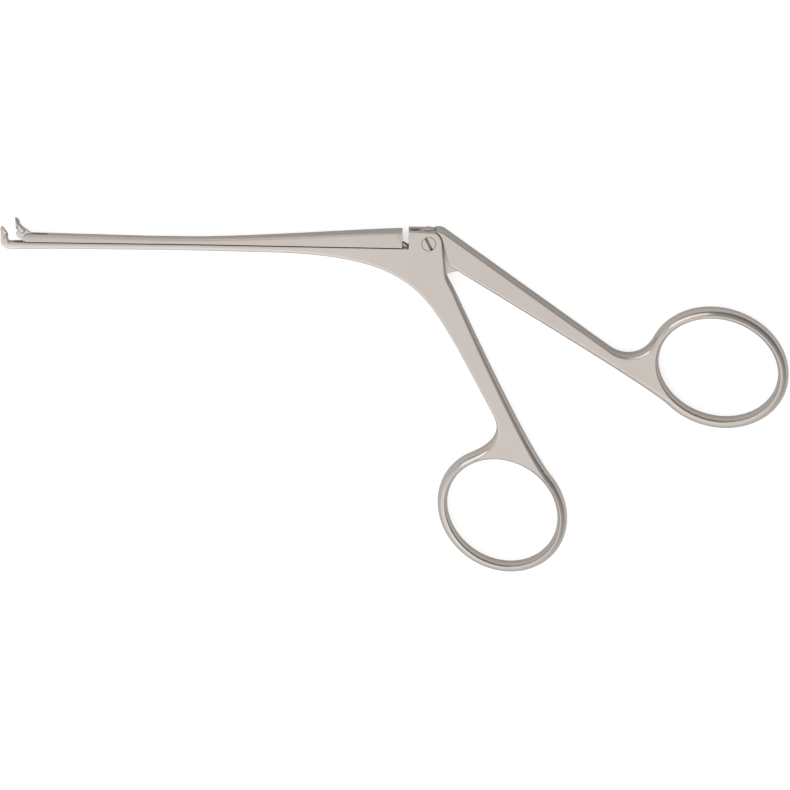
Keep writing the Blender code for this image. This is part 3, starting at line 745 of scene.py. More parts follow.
class Blank:
    """A solid being worked in millimetres: shapes are joined to it and cut from it."""

    def __init__(self, name: str, mesh: bpy.types.Mesh) -> None:
        self.item = bpy.data.objects.new(name, mesh)
        bpy.context.scene.collection.objects.link(self.item)

    def work(self, how: Work, shape: bpy.types.Mesh) -> None:
        """Join a shape on or cut it out, and take the result as the blank's own mesh."""
        tool = bpy.data.objects.new(shape.name, shape)
        bpy.context.scene.collection.objects.link(tool)
        modifier = self.item.modifiers.new(shape.name, "BOOLEAN")
        modifier.operation = how.value
        modifier.solver = "EXACT"
        modifier.object = tool
        self.settle()
        bpy.data.objects.remove(tool)
        bpy.data.meshes.remove(shape)

    def settle(self) -> None:
        """Put the evaluated mesh in place of the blank's mesh and clear its modifiers."""
        before = self.item.data
        graph = bpy.context.evaluated_depsgraph_get()
        self.item.data = bpy.data.meshes.new_from_object(self.item.evaluated_get(graph))
        self.item.modifiers.clear()
        bpy.data.meshes.remove(before)

    def thin(self, bench: Bench) -> None:
        """Draw a plate of full thickness down to the tapered shaft."""
        bm = bmesh.new()
        bm.from_mesh(self.item.data)
        front = bench.jaw_pin.x - bench.stem_swell
        for x in (front - bench.stem_swell, front, -bench.slim_from, -bench.notch_front):
            everything = bm.verts[:] + bm.edges[:] + bm.faces[:]
            bmesh.ops.bisect_plane(
                bm, geom=everything, dist=WELD_DISTANCE, plane_co=(x, 0, 0), plane_no=(1, 0, 0))
        bmesh.ops.triangulate(bm, faces=bm.faces)
        for vert in bm.verts:
            vert.co.z *= bench.shaft_half(vert.co.x) / bench.half_handle
        bm.to_mesh(self.item.data)
        bm.free()

    def thin_ring(self, ring: Ring, arm_angle: float) -> None:
        """Draw a finger ring thinner than its arm, from the near edge of its hole onwards.

        Args:
            ring: The ring.
            arm_angle: Direction in which the arm runs to the ring.
        """
        way = heading(arm_angle)
        start, stop = RING_THINS_FROM * ring.half_width, RING_THINS_TO * ring.half_width
        bm = bmesh.new()
        bm.from_mesh(self.item.data)
        for reach in spread(start, stop, RING_CUTS):
            place, flat = ring.middle + reach * way, way.to_3d()
            near = []
            for face in bm.faces:
                away = face.calc_center_median().to_2d() - ring.middle
                if away.length < RING_REACH:
                    near.append(face)
            edges = {edge for face in near for edge in face.edges}
            verts = {vert for face in near for vert in face.verts}
            bmesh.ops.bisect_plane(
                bm, geom=[*near, *edges, *verts], dist=WELD_DISTANCE,
                plane_co=place.to_3d(), plane_no=flat)
        bmesh.ops.triangulate(bm, faces=bm.faces)
        for vert in bm.verts:
            away = vert.co.to_2d() - ring.middle
            if away.length < RING_REACH:
                part = clamped((away.dot(way) - start) / (stop - start))
                vert.co.z *= 1 - (1 - RING_SHARE) * part * part * (3 - 2 * part)
        bm.to_mesh(self.item.data)
        bm.free()

    def finish(self, place: Matrix, finish: SteelFinish) -> bpy.types.Object:
        """Bring the piece into the frame, shade it and give it its one finish.

        Args:
            place: Matrix from the blank's millimetres to the frame's metres.
            finish: The steel's finish.

        Returns:
            The finished object, at the origin with its place in its mesh.
        """
        mesh = self.item.data
        mesh.materials.clear()
        mesh.materials.append(finish.material())
        for polygon in mesh.polygons:
            polygon.material_index = 0
        for name in EDGE_LAYERS:
            spare = mesh.attributes.get(name)
            if spare is not None:
                mesh.attributes.remove(spare)
        mesh.transform(place)
        mesh.shade_smooth()
        mesh.set_sharp_from_angle(angle=SHARP_ANGLE)
        weighted = self.item.modifiers.new("even_faces", "WEIGHTED_NORMAL")
        weighted.keep_sharp = True
        self.settle()
        return self.item


class MaterialSketch:
    """Short calls for wiring a node material."""

    def __init__(self, name: str) -> None:
        self.material = bpy.data.materials.new(name)
        self.material.use_nodes = True
        self.nodes = self.material.node_tree.nodes
        self.links = self.material.node_tree.links
        self.shader = self.nodes["Principled BSDF"]

    def add(
        self, kind: str, values: dict[str, object] | None = None, **settings: object,
    ) -> bpy.types.Node:
        """Add a node.

        Args:
            kind: The node's type.
            values: Source socket or plain value for each input that is set, by the input's name.
            settings: Properties of the node.

        Returns:
            The node.
        """
        node = self.nodes.new(kind)
        for key, value in settings.items():
            setattr(node, key, value)
        for key, value in (values or {}).items():
            self.feed(node.inputs[key], value)
        return node

    def feed(self, socket: bpy.types.NodeSocket, value: object) -> None:
        """Link a source to an input, or set its value."""
        if isinstance(value, bpy.types.NodeSocket):
            self.links.new(value, socket)
        else:
            socket.default_value = value

    def ramp(
        self, value: bpy.types.NodeSocket, low: float, high: float, to: tuple[float, float],
    ) -> bpy.types.NodeSocket:
        """Map a value from a range to another.

        Args:
            value: The value.
            low: Start of its range.
            high: End of its range.
            to: Start and end of the range that it is mapped to.

        Returns:
            The mapped value, held at the ends of the range.
        """
        values = {
            "Value": value, "From Min": low, "From Max": high, "To Min": to[0], "To Max": to[1]}
        return self.add("ShaderNodeMapRange", values).outputs["Result"]

    def noise(
        self, place: bpy.types.NodeSocket, kind: tuple[float, float, float],
    ) -> bpy.types.NodeSocket:
        """Noise of a scale, detail and roughness at a place."""
        values = {"Vector": place, **dict(zip(("Scale", "Detail", "Roughness"), kind))}
        return self.add("ShaderNodeTexNoise", values).outputs[0]

    def maths(self, operation: str, first: object, second: object) -> bpy.types.NodeSocket:
        """Result of a Math node with two inputs."""
        node = self.nodes.new("ShaderNodeMath")
        node.operation = operation
        self.feed(node.inputs[0], first)
        self.feed(node.inputs[1], second)
        return node.outputs[0]


@dataclass(frozen=True)
class SteelFinish:
    """Finish of one steel piece.

    Attributes:
        name: Name of the material.
        colour: Linear colour of the metal.
        roughness: Roughness of the satin faces.
        grain_angle: Direction of the brushing in the XY plane, in degrees.
        grain_depth: Depth of the brushing, in metres.
        polish_spots: Middle and reach of each polished part, in metres.
        polish: Roughness of polished places and worn edges.
        painted_shade: Share of painted shade in the deepest nooks, where ambient occlusion darkens the
            colour towards dark brown.
        painted_shade_reach: How far from a nook the painted shade spreads, in metres.
    """

    name: str
    colour: tuple[float, float, float]
    roughness: float
    grain_angle: float = 0.0
    grain_depth: float = 0.000004
    polish_spots: tuple[tuple[tuple[float, float, float], float], ...] = ()
    polish: float = 0.15
    painted_shade: float = 0.8
    painted_shade_reach: float = 0.0007

    def material(self) -> bpy.types.Material:
        """Build the node material: brushed grain, clouded roughness, polished rings and worn edges."""
        sketch = MaterialSketch(self.name)
        place = sketch.add("ShaderNodeTexCoord").outputs["Object"]
        turn = (0.0, 0.0, math.radians(-self.grain_angle))
        aligned = sketch.add("ShaderNodeMapping", {"Vector": place, "Rotation": turn})
        stretched = sketch.add(
            "ShaderNodeMapping", {"Vector": aligned.outputs[0], "Scale": (GRAIN_STRETCH, 1.0, 1.0)})
        grain = sketch.noise(stretched.outputs[0], GRAIN_NOISE)
        cloud = sketch.noise(place, CLOUD_NOISE)
        speck = sketch.noise(place, SPECK_NOISE)

        soft = sketch.add(
            "ShaderNodeBevel", {"Radius": WEAR_RADIUS}, samples=SHADING_SAMPLES).outputs[0]
        flat = sketch.add("ShaderNodeNewGeometry").outputs["Normal"]
        facing = sketch.add("ShaderNodeVectorMath", operation="DOT_PRODUCT")
        sketch.links.new(soft, facing.inputs[0])
        sketch.links.new(flat, facing.inputs[1])
        edge = sketch.ramp(facing.outputs["Value"], 0.995, 0.86, (0.0, 1.0))
        worn = sketch.maths("MULTIPLY", edge, sketch.ramp(cloud, 0.35, 0.65, (0.55, 1.0)))

        streaks = sketch.ramp(grain, 0.3, 0.7, (-0.035, 0.035))
        clouds = sketch.ramp(cloud, 0.3, 0.7, (-0.03, 0.03))
        satin = sketch.maths("ADD", sketch.maths("ADD", streaks, clouds), self.roughness)
        bright = worn
        for centre, reach in self.polish_spots:
            away = sketch.add("ShaderNodeVectorMath", operation="DISTANCE")
            sketch.links.new(place, away.inputs[0])
            away.inputs[1].default_value = centre
            near = sketch.ramp(away.outputs["Value"], reach * POLISH_FADE, reach, (0.0, 1.0))
            bright = sketch.maths("MAXIMUM", bright, near)
        gleam = sketch.maths("ADD", sketch.maths("MULTIPLY", streaks, 0.5), self.polish)
        mix = sketch.add(
            "ShaderNodeMix", {"Factor": bright, "A": satin, "B": gleam}, data_type="FLOAT")
        sketch.links.new(mix.outputs[0], sketch.shader.inputs["Roughness"])

        # Ambient occlusion darkens the base colour in slots, gaps and nooks: painted shade in the
        # colour, not residue on the steel.
        nook = sketch.add(
            "ShaderNodeAmbientOcclusion", {"Distance": self.painted_shade_reach}, samples=SHADING_SAMPLES)
        painted_shade = sketch.ramp(nook.outputs["AO"], 0.25, 0.75, (self.painted_shade, 0.0))
        tint = sketch.add("ShaderNodeMix", data_type="RGBA")
        broad = sketch.ramp(cloud, 0.3, 0.7, (0.0, 0.6))
        fine = sketch.ramp(speck, 0.3, 0.7, (0.0, 0.4))
        tone = sketch.maths("ADD", broad, fine)
        sketch.links.new(tone, tint.inputs[0])
        darker = [channel * shade for channel, shade in zip(self.colour, (0.965, 0.962, 0.955))]
        lighter = [min(channel * 1.035, 1.0) for channel in self.colour]
        tint.inputs["A"].default_value = (*darker, 1.0)
        tint.inputs["B"].default_value = (*lighter, 1.0)
        shade_painted_colour = sketch.add("ShaderNodeMix", data_type="RGBA")
        sketch.links.new(painted_shade, shade_painted_colour.inputs[0])
        sketch.links.new(tint.outputs["Result"], shade_painted_colour.inputs["A"])
        shade_painted_colour.inputs["B"].default_value = PAINTED_SHADE_COLOUR
        sketch.links.new(shade_painted_colour.outputs["Result"], sketch.shader.inputs["Base Color"])
        sketch.shader.inputs["Metallic"].default_value = 1.0
        relief = {"Height": grain, "Normal": soft, "Strength": 0.6, "Distance": self.grain_depth}
        bump = sketch.add("ShaderNodeBump", relief)
        sketch.links.new(bump.outputs[0], sketch.shader.inputs["Normal"])
        return sketch.material


@dataclass
class Shop:
    """The bench, the trees and the bare steel that every piece is made with."""

    bench: Bench
    plates: PlateTree = field(default_factory=PlateTree)
    bars: BarTree = field(default_factory=BarTree)
    threads: ThreadTree = field(default_factory=ThreadTree)
    steel: bpy.types.Material = field(
        default_factory=lambda: bpy.data.materials.new("blank_steel"))

    def in_frame(self, point: Vector) -> tuple[float, float, float]:
        """A place on the bench's middle plane, in the frame's metres."""
        return tuple(self.bench.to_frame() @ point.to_3d())


def key_profile(parting: float, grow: float) -> list[tuple[float, float]]:
    """Dovetail section of the slide's key, or of its groove when grown by the clearance."""
    neck_width, foot_width, depth = 0.8, 1.2, 0.5
    top = parting + KEEP_CLEAR
    foot = parting - depth - grow
    neck, wide = neck_width / 2 + grow, foot_width / 2 + grow
    return [(top, -neck), (parting, -neck), (foot, -wide), (foot, wide), (parting, neck), (top, neck)]


@dataclass(frozen=True)
class Cups:
    """The two cups, seen from the jaw's pin with the jaw shut."""

    tip_reach: float = 6.0
    tip_angle: float = math.radians(141.3)
    rim_angle: float = math.radians(124.4)
    length: float = 2.3
    width: float = 2.0
    depth: float = 0.95
    wall: float = 0.22
    gap: float = 0.05

    def middle(self) -> Vector:
        """Middle of the rims."""
        return self.tip_reach * heading(self.tip_angle) - self.length / 2 * heading(self.rim_angle)

    def egg(self, name: str, centre: Vector, wall: float, side: int = 0) -> bpy.types.Mesh:
        """Draw the ellipsoid on which the cups are formed, or half of it.

        Args:
            name: Name of the mesh.
            centre: Middle of the rim.
            wall: How much smaller the hollow is than the cup.
            side: 1 or -1 for the half left or right of the rim, 0 for the whole egg.

        Returns:
            The closed egg or half egg.
        """
        bm = bmesh.new()
        place = Matrix.Translation(centre.to_3d()) @ Matrix.Rotation(self.rim_angle, 4, "Z")
        half_sizes = (self.length / 2 - wall, self.depth - wall, self.width / 2 - wall, 1)
        form = place @ Matrix.Diagonal(half_sizes) @ Matrix.Rotation(QUARTER_TURN, 4, "Y")
        bmesh.ops.create_uvsphere(
            bm, u_segments=ROUND_STEPS, v_segments=EGG_STEPS, radius=1, matrix=form)
        if side:
            away = -side * turned((0, 1), self.rim_angle)
            everything = bm.verts[:] + bm.edges[:] + bm.faces[:]
            cut = bmesh.ops.bisect_plane(
                bm, geom=everything, dist=WELD_DISTANCE, plane_co=centre.to_3d(),
                plane_no=away.to_3d(), clear_outer=True)
            rim = [item for item in cut["geom_cut"] if isinstance(item, bmesh.types.BMEdge)]
            bmesh.ops.contextual_create(bm, geom=rim)
            bmesh.ops.recalc_face_normals(bm, faces=bm.faces)
        return to_mesh(name, bm)


@dataclass
class FixedHandle:
    """Fixed cup, stem, lower bar, box joint and finger handle, forged in one piece."""

    shop: Shop
    cups: Cups = field(default_factory=Cups)
    ring: Ring = Ring((15.45, -55.4), 12.7, 10.95, math.radians(-39.5), 1.95)
    lower_bar_height: float = 1.18
    nose_drop: float = 0.2
    belly_start: float = 30.0
    belly_sag: float = 0.16
    stem_width: float = 1.55
    stem_inset: float = 0.62
    body_top: float = 2.4
    corner_radius: float = 2.75
    rear_length: float = 6.3
    box_slot_width: float = 2.0
    box_slot_reach: float = 4.2
    box_slot_depth: float = 0.75
    lobe_clearance: float = 0.3
    arm_angle: float = math.radians(-61.9)
    arm_front_angle: float = math.radians(-59.0)
    arm_top: tuple[float, float] = (4.75, -9.4)
    arm_front_top: tuple[float, float] = (5.67, -21.06)
    arm_elbow: tuple[float, float] = (-2.72, 21.16)
    jaw_slot_half: float = 0.5
    key_front: float = -75.398

    def outline(self) -> Outline:
        """Side view of the whole forging, without its ring's hole."""
        bench, ring = self.shop.bench, self.ring
        middle = bench.jaw_pin + self.cups.middle()
        bar_bottom = bench.parting - self.lower_bar_height
        nose_bottom = bar_bottom - self.nose_drop
        inner = middle.x + self.stem_inset
        outer = inner - self.stem_width
        lean = bench.rear_lean
        rear_low = self.corner_radius * heading(lean) + turned((0, -self.rear_length), lean)
        corner_start = math.asin(self.body_top / self.corner_radius)
        arm_back = self.arm_angle + math.pi
        front_end, rear_end = math.radians(155), math.radians(437)

        shape = Outline(BAR_EDGE)
        shape.line(middle + Vector((-0.25, 0.15)), (outer, middle.y - 0.6))
        bend = (outer + self.stem_width, nose_bottom + self.stem_width)
        shape.arc(bend, self.stem_width, math.pi, 1.5 * math.pi)
        shape.line((bench.jaw_pin.x, nose_bottom))
        shape.line((bench.jaw_pin.x + 5, bar_bottom - self.belly_sag / 2))
        shape.line((-bench.slim_from - 8, bar_bottom))
        shape.line((-bench.slim_from + 2, bar_bottom - self.belly_sag / 4))
        shape.line((-self.belly_start, bar_bottom - self.belly_sag))
        shape.curve(self.arm_front_top, -0.02, self.arm_front_angle, (0.64, 0.32), 70, ARM_EDGE)
        shape.line(ring.middle + Vector(self.arm_elbow), rounding=ARM_EDGE)
        joint, joining = ring.point(front_end, Side.OUTER), ring.direction(front_end)
        shape.curve(joint, self.arm_front_angle, joining, (0.62, 0.42), 44, RING_EDGE)
        shape.around(ring, front_end, rear_end, Side.OUTER, 132)
        shape.curve(self.arm_top, ring.direction(rear_end), arm_back, (0.2, 0.1), 44, ARM_EDGE)
        shape.curve(rear_low, arm_back, lean + QUARTER_TURN, (0.35, 0.35), 12)
        shape.arc((0, 0), self.corner_radius, lean, corner_start)
        shape.line((-bench.notch_front, self.body_top), rounding=SHARP_EDGE)
        shape.line((-bench.notch_front, bench.parting))
        shape.line((bench.jaw_pin.x - 2.4, bench.parting), rounding=GROOVE_EDGE)
        shape.curve((inner, bench.parting + 0.55), math.pi, QUARTER_TURN, (0.5, 0.5), 14, STEM_EDGE)
        shape.line(middle + Vector((0.2, -0.5)))
        return shape

    def jaw_slot(self) -> Outline:
        """Side view of the slot for the jaw's lug."""
        bench = self.shop.bench
        top, deep = bench.pin_depth + KEEP_CLEAR, -0.58
        slot = Outline(SHARP_EDGE)
        slot.line(*from_point(bench.jaw_pin, (-2.5, top), (-2.5, 0.45), (-0.9, deep)))
        slot.line(*from_point(bench.jaw_pin, (0.6, deep), (1.1, 0.1), (1.1, top)))
        return slot

    def box_slot(self) -> Outline:
        """Side view of the slot for the tang and the slide's tail."""
        bench = self.shop.bench
        floor = bench.parting - self.box_slot_depth
        front, top = bench.slide_rear - self.box_slot_reach, self.body_top + OVERCUT
        behind = self.corner_radius + 5.25
        slot = Outline(SHARP_EDGE)
        slot.line((front, top), (front, floor), (bench.slide_rear - 1.45, floor))
        slot.line(bench.knob + Vector((-4.7, 0.6)))
        reach = bench.lobe_radius + self.lobe_clearance
        slot.arc((0, 0), reach, math.radians(-116), math.radians(-50), 40)
        slot.line((behind, -5.5), (behind, top))
        return slot

    def build(self) -> bpy.types.Object:
        """Forge the blank, form the cup, cut the slots and bores, and dress the piece."""
        shop, bench, plates = self.shop, self.shop.bench, self.shop.plates
        steel = shop.steel
        centre = bench.jaw_pin + self.cups.middle()
        finish = SteelFinish(
            "satin_steel_fixed", (0.66, 0.612, 0.573), 0.34, -60.0,
            polish_spots=(
                (shop.in_frame(self.ring.middle), RING_POLISH_REACH),
                (shop.in_frame(centre), CUP_POLISH_REACH)))
        outlines = [self.outline(), self.ring.hole()]
        blank = Blank("fixed_handle_piece", plates.plate(
            "fixed_handle_plate", outlines, bench.half_handle, steel))
        blank.thin(bench)
        blank.thin_ring(self.ring, self.arm_angle)
        blank.work(Work.JOIN, self.cups.egg("fixed_cup", centre, 0.0, 1))
        blank.work(Work.CUT, self.cups.egg("fixed_cup_hollow", centre, self.cups.wall))
        for name, outline, half in (
                ("jaw_slot", self.jaw_slot(), self.jaw_slot_half),
                ("box_slot", self.box_slot(), self.box_slot_width / 2)):
            blank.work(Work.CUT, plates.plate(name, [outline], half, steel, 2))
        groove_start = self.key_front - bench.slide_travel - KEEP_CLEAR
        groove = key_profile(bench.parting, bench.bar_clearance)
        blank.work(Work.CUT, prism("key_groove", groove, groove_start, bench.slide_rear))
        high = 2 * bench.half_handle
        bore = bench.shank_radius + RUNNING_CLEARANCE
        blank.work(Work.CUT, rod("screw_bore", (0, 0), bore, -high, high))
        seat = bench.half_handle - bench.head_depth - RUNNING_CLEARANCE
        seat_radius = bench.screw_head_radius + RUNNING_CLEARANCE
        blank.work(Work.CUT, rod("head_seat", (0, 0), seat_radius, seat, high))
        blank.work(Work.CUT, rod(
            "jaw_pin_bore", bench.jaw_pin, bench.pin_bore, -bench.bore_half, bench.bore_half))
        return blank.finish(bench.to_frame(), finish)


@dataclass
class SlideShaft:
    """The slide: the upper bar with its slotted nose, its key and its hooked tail."""

    shop: Shop
    height: float = 1.28
    rear_height: float = 3.26
    nose_radius: float = 0.75
    nose_slot_length: float = 4.4
    nose_slot_slope: float = 0.6
    nose_slot_half: float = 0.5
    key_setback: float = 0.4
    key_short_of_rear: float = 1.0
    tail_half: float = 0.9
    tail_root_height: float = 1.4
    tail_grip: float = 3.0
    tail_sink: float = 0.95
    tail_steps: int = 36

    def outline(self) -> Outline:
        """Side view: round nose, slim bar and deep rear end."""
        bench = self.shop.bench
        base = bench.parting + bench.bar_clearance
        centre = Vector((bench.drive_pin.x, base + self.nose_radius))
        slim_top, rear_top = bench.parting + self.height, bench.parting + self.rear_height
        shape = Outline(SHARP_EDGE)
        shape.arc(centre, self.nose_radius, math.pi, 1.5 * math.pi)
        shape.line((bench.slide_rear, base), (bench.slide_rear, rear_top - 0.02))
        shape.line((bench.slide_rear - 0.2, rear_top), rounding=ARM_EDGE)
        shape.curve((-bench.slim_from - 2, slim_top), math.pi, math.pi, (0.12, 0.30), 60, SHAFT_EDGE)
        shape.line((-bench.slim_from - 10, slim_top))
        shape.arc(centre, self.nose_radius, QUARTER_TURN, math.radians(160))
        return shape

    def tail(self) -> Outline:
        """Side view of the tail: from under the slide down to the round end in the thumb handle."""
        bench = self.shop.bench
        knob, knob_radius, angle = bench.knob, bench.knob_radius, bench.tail_angle
        neck = bench.tail_neck_width
        root_y = bench.parting + self.tail_sink - self.tail_root_height / 2
        root = Vector((bench.slide_rear - self.tail_grip, root_y))
        middle = Vector((bench.slide_rear + 0.2, root.y - 0.1))
        length = (middle - knob).length
        leave = knob + heading(angle) * length * 0.45
        arrive = middle + heading(math.radians(-40)) * length * 0.2
        bend = interpolate_bezier(knob, leave, arrive, middle, self.tail_steps + 1)
        path = [point.to_2d() for point in bend] + [root]
        upper, lower = [], []
        for i, point in enumerate(path):
            along = (path[min(i + 1, len(path) - 1)] - path[max(i - 1, 0)]).normalized()
            across = Vector((along.y, -along.x))
            share = min(i / self.tail_steps, 1.0)
            half = (neck + (self.tail_root_height - neck) * share) / 2
            if (point - knob).length > knob_radius + 0.1:
                upper.append(point + across * half)
                lower.append(point - across * half)
        opening = math.asin(neck / 2 / knob_radius)
        shape = Outline(SHARP_EDGE)
        shape.line(*reversed(lower))
        shape.arc(knob, knob_radius, angle + opening, angle + 2 * math.pi - opening, 48)
        shape.line(*upper)
        return shape

    def nose_slot(self) -> Outline:
        """Side view of the slot in the nose, which ends in a slope up to the top face."""
        bench = self.shop.bench
        front, end = bench.drive_pin.x - OVERCUT, bench.drive_pin.x + self.nose_slot_length
        below, above = bench.parting - 0.5, bench.parting + self.rear_height
        slope = self.nose_slot_slope
        slot = Outline(SHARP_EDGE)
        slot.line((front, below), (end - 2 * slope, below), (end - slope, bench.parting + slope))
        slot.line((end, above), (front, above))
        return slot

    def build(self) -> bpy.types.Object:
        """Draw the bar, join its key and tail, cut its nose, and dress the piece."""
        bench, plates, steel = self.shop.bench, self.shop.plates, self.shop.steel
        finish = SteelFinish("satin_steel_slide", (0.645, 0.597, 0.558), 0.32, 0.0)
        blank = Blank("slide_shaft_piece", plates.plate(
            "slide_plate", [self.outline()], bench.half_handle, steel))
        blank.thin(bench)
        key_front = bench.drive_pin.x + self.nose_slot_length + self.key_setback
        key_end = bench.slide_rear - self.key_short_of_rear
        key = key_profile(bench.parting, 0.0)
        blank.work(Work.JOIN, prism("slide_key", key, key_front, key_end))
        blank.work(Work.JOIN, plates.plate("slide_tail", [self.tail()], self.tail_half, steel, 3))
        slot = plates.plate("nose_slot", [self.nose_slot()], self.nose_slot_half, steel, 2)
        blank.work(Work.CUT, slot)
        blank.work(Work.CUT, rod(
            "drive_pin_bore", bench.drive_pin, bench.pin_bore, -bench.bore_half, bench.bore_half))
        return blank.finish(bench.to_frame(), finish)


@dataclass
class ThumbHandle:
    """Thumb handle: ring, arm and the thin tang that turns in the box joint."""

    shop: Shop
    ring: Ring = Ring((58.2, -25.3), 13.3, 11.05, math.radians(-20.5), 2.15)
    corner_radius: float = 2.84
    shoulder_start: float = 1.3
    arm_angle: float = math.radians(-35.7)
    arm_lower_angle: float = math.radians(-33.2)
    crest: tuple[float, float] = (2.7, 2.6)
    lower_point: tuple[float, float] = (8.72, -7.47)
    arm_bend: float = 20.05
    heel_round: float = 0.7
    tang_half: float = 0.95
    eye_radius: float = 2.85
    channel_half: float = 1.4
    channel_length: float = 4.0
    channel_flare: float = 0.45

    def outline(self) -> Outline:
        """Side view of the handle outside the box joint, without its ring's hole."""
        bench, ring = self.shop.bench, self.ring
        lean = bench.rear_lean + bench.handle_swing
        start, down = self.corner_radius * heading(lean), heading(lean - QUARTER_TURN)
        arm_way, lower_way = heading(self.arm_angle), heading(self.arm_lower_angle)
        off_edge = heading(self.arm_lower_angle + QUARTER_TURN)
        reach = (Vector(self.lower_point) - start).dot(off_edge) / down.dot(off_edge)
        heel = start + down * reach
        lower_end, upper_end = math.radians(243), math.radians(535)
        crest = Vector(self.crest)
        edge_end = crest + ((ring.middle - crest).dot(arm_way) - self.arm_bend) * arm_way

        shape = Outline(SHARP_EDGE)
        shoulder = math.acos(self.shoulder_start / self.corner_radius)
        shape.arc((0, 0), self.corner_radius, shoulder, lean)
        shape.line(heel - self.heel_round * down)
        after_heel = heel + self.heel_round * lower_way
        shape.curve(after_heel, lean - QUARTER_TURN, self.arm_lower_angle, (0.5, 0.5), 12, ARM_EDGE)
        joint, joining = ring.point(lower_end, Side.OUTER), ring.direction(lower_end)
        shape.curve(joint, self.arm_lower_angle, joining, (0.2, 0.12), 44, RING_EDGE)
        shape.around(ring, lower_end, upper_end, Side.OUTER, 136)
        leaving, back = ring.direction(upper_end), self.arm_angle + math.pi
        shape.curve(edge_end, leaving, back, (0.45, 0.4), 40, ARM_EDGE)
        shape.line(crest + 0.4 * arm_way, crest + Vector((-0.3, 0.02)))
        return shape

    def tang(self) -> Outline:
        """Side view of the tang: the eye on the screw and the lobe that holds the slide's end."""
        shape = Outline(SHARP_EDGE)
        shape.arc((0, 0), self.eye_radius, math.radians(88), math.radians(232), 48)
        shape.line(*from_point(self.shop.bench.knob, (-1.75, 0.6), (-1.75, -1.6)))
        shape.arc((0, 0), self.shop.bench.lobe_radius, math.radians(-101), math.radians(-56), 24)
        shape.line((6.6, -5.7), (7.4, -3.5), (4.2, 0.9))
        return shape

    def channel(self) -> Outline:
        """Side view of the way by which the slide's tail leaves its socket."""
        bench = self.shop.bench
        knob = bench.knob
        across = heading(bench.tail_angle - QUARTER_TURN)
        mouth = knob + self.channel_length * heading(bench.tail_angle)
        half = bench.tail_neck_width / 2 + 2 * RUNNING_CLEARANCE
        flare = half + self.channel_flare
        shape = Outline(SHARP_EDGE)
        shape.line(mouth - across * flare, mouth + across * flare)
        shape.line(knob + across * half, knob - across * half)
        return shape

    def build(self) -> bpy.types.Object:
        """Forge the handle, join its tang, cut its socket and bore, and dress the piece."""
        shop, bench, plates = self.shop, self.shop.bench, self.shop.plates
        steel = shop.steel
        finish = SteelFinish(
            "satin_steel_thumb", (0.65, 0.6, 0.56), 0.33, -36.0,
            polish_spots=((shop.in_frame(self.ring.middle), RING_POLISH_REACH),))
        outlines = [self.outline(), self.ring.hole()]
        blank = Blank("thumb_handle_piece", plates.plate(
            "thumb_handle_plate", outlines, bench.half_handle, steel))
        blank.thin_ring(self.ring, self.arm_angle)
        blank.work(Work.JOIN, plates.plate("tang", [self.tang()], self.tang_half, steel, 3))
        high = 2 * bench.half_handle
        for name, centre, radius in (
                ("tang_bore", (0, 0), bench.shank_radius),
                ("tail_socket", bench.knob, bench.knob_radius)):
            blank.work(Work.CUT, rod(name, centre, radius + RUNNING_CLEARANCE, -high, high))
        channel = plates.plate("tail_channel", [self.channel()], self.channel_half, steel, 1)
        blank.work(Work.CUT, channel)
        return blank.finish(bench.to_frame(), finish)


@dataclass
class PivotScrew:
    """Slotted pivot screw with a flush head and a threaded end in the far wall of the box joint."""

    shop: Shop
    slot_width: float = 0.55
    slot_depth: float = 0.62
    slot_angle: float = math.radians(-63.0)
    thread_top: float = -1.05
    thread_pitch: float = 0.32
    thread_ridge: float = 0.1

    def build(self) -> bpy.types.Object:
        """Turn the head and shank, wind the thread, saw the slot, and dress the piece."""
        bench, bars, steel = self.shop.bench, self.shop.bars, self.shop.steel
        top, bottom = bench.half_handle, bench.screw_bottom
        seat = top - bench.head_depth
        root = bench.shank_radius - self.thread_ridge
        head = bars.bar("screw_head", seat, top, bench.screw_head_radius, steel)
        shank = bars.bar("screw_shank", self.thread_top, seat + 0.1, bench.shank_radius, steel)
        end = bars.bar("screw_end", bottom, self.thread_top + 0.1, root, steel, 0.15)
        blank = Blank("pivot_screw_piece", head)
        blank.work(Work.JOIN, shank)
        blank.work(Work.JOIN, end)
        low, high = bottom + 2 * self.thread_ridge, self.thread_top + 0.05
        winding = self.shop.threads.thread(
            "screw_thread", low, high, root, self.thread_pitch, self.thread_ridge, steel)
        blank.work(Work.JOIN, winding)
        side, floor = self.slot_width / 2, top - self.slot_depth
        reach = bench.screw_head_radius + KEEP_CLEAR
        profile = [(-side, floor), (side, floor), (side, top + 1), (-side, top + 1)]
        saw = prism("screw_slot", profile, -reach, reach)
        saw.transform(Matrix.Rotation(self.slot_angle, 4, "Z"))
        blank.work(Work.CUT, saw)
        # Strong painted shade darkens the colour in the screw's slot and round its seat.
        finish = SteelFinish(
            "screw_steel", (0.655, 0.615, 0.58), 0.27, 20.0, painted_shade=0.95, painted_shade_reach=0.0012)
        return blank.finish(bench.to_frame(), finish)


@dataclass
class Rivet:
    """A ground pin of the jaw, riveted flush."""

    shop: Shop
    name: str
    place: Vector
    corner: float = 0.006

    def build(self) -> bpy.types.Object:
        """Turn the pin about its place, and dress it."""
        shop, bench = self.shop, self.shop.bench
        half = bench.pin_half
        pin = shop.bars.bar(
            self.name, -half, half, bench.pin_radius, shop.steel, self.corner)
        finish = SteelFinish(self.name + "_steel", (0.64, 0.60, 0.565), 0.3, 0.0)
        place = Matrix.Translation(self.place.to_3d())
        return Blank(self.name + "_piece", pin).finish(bench.to_frame() @ place, finish)


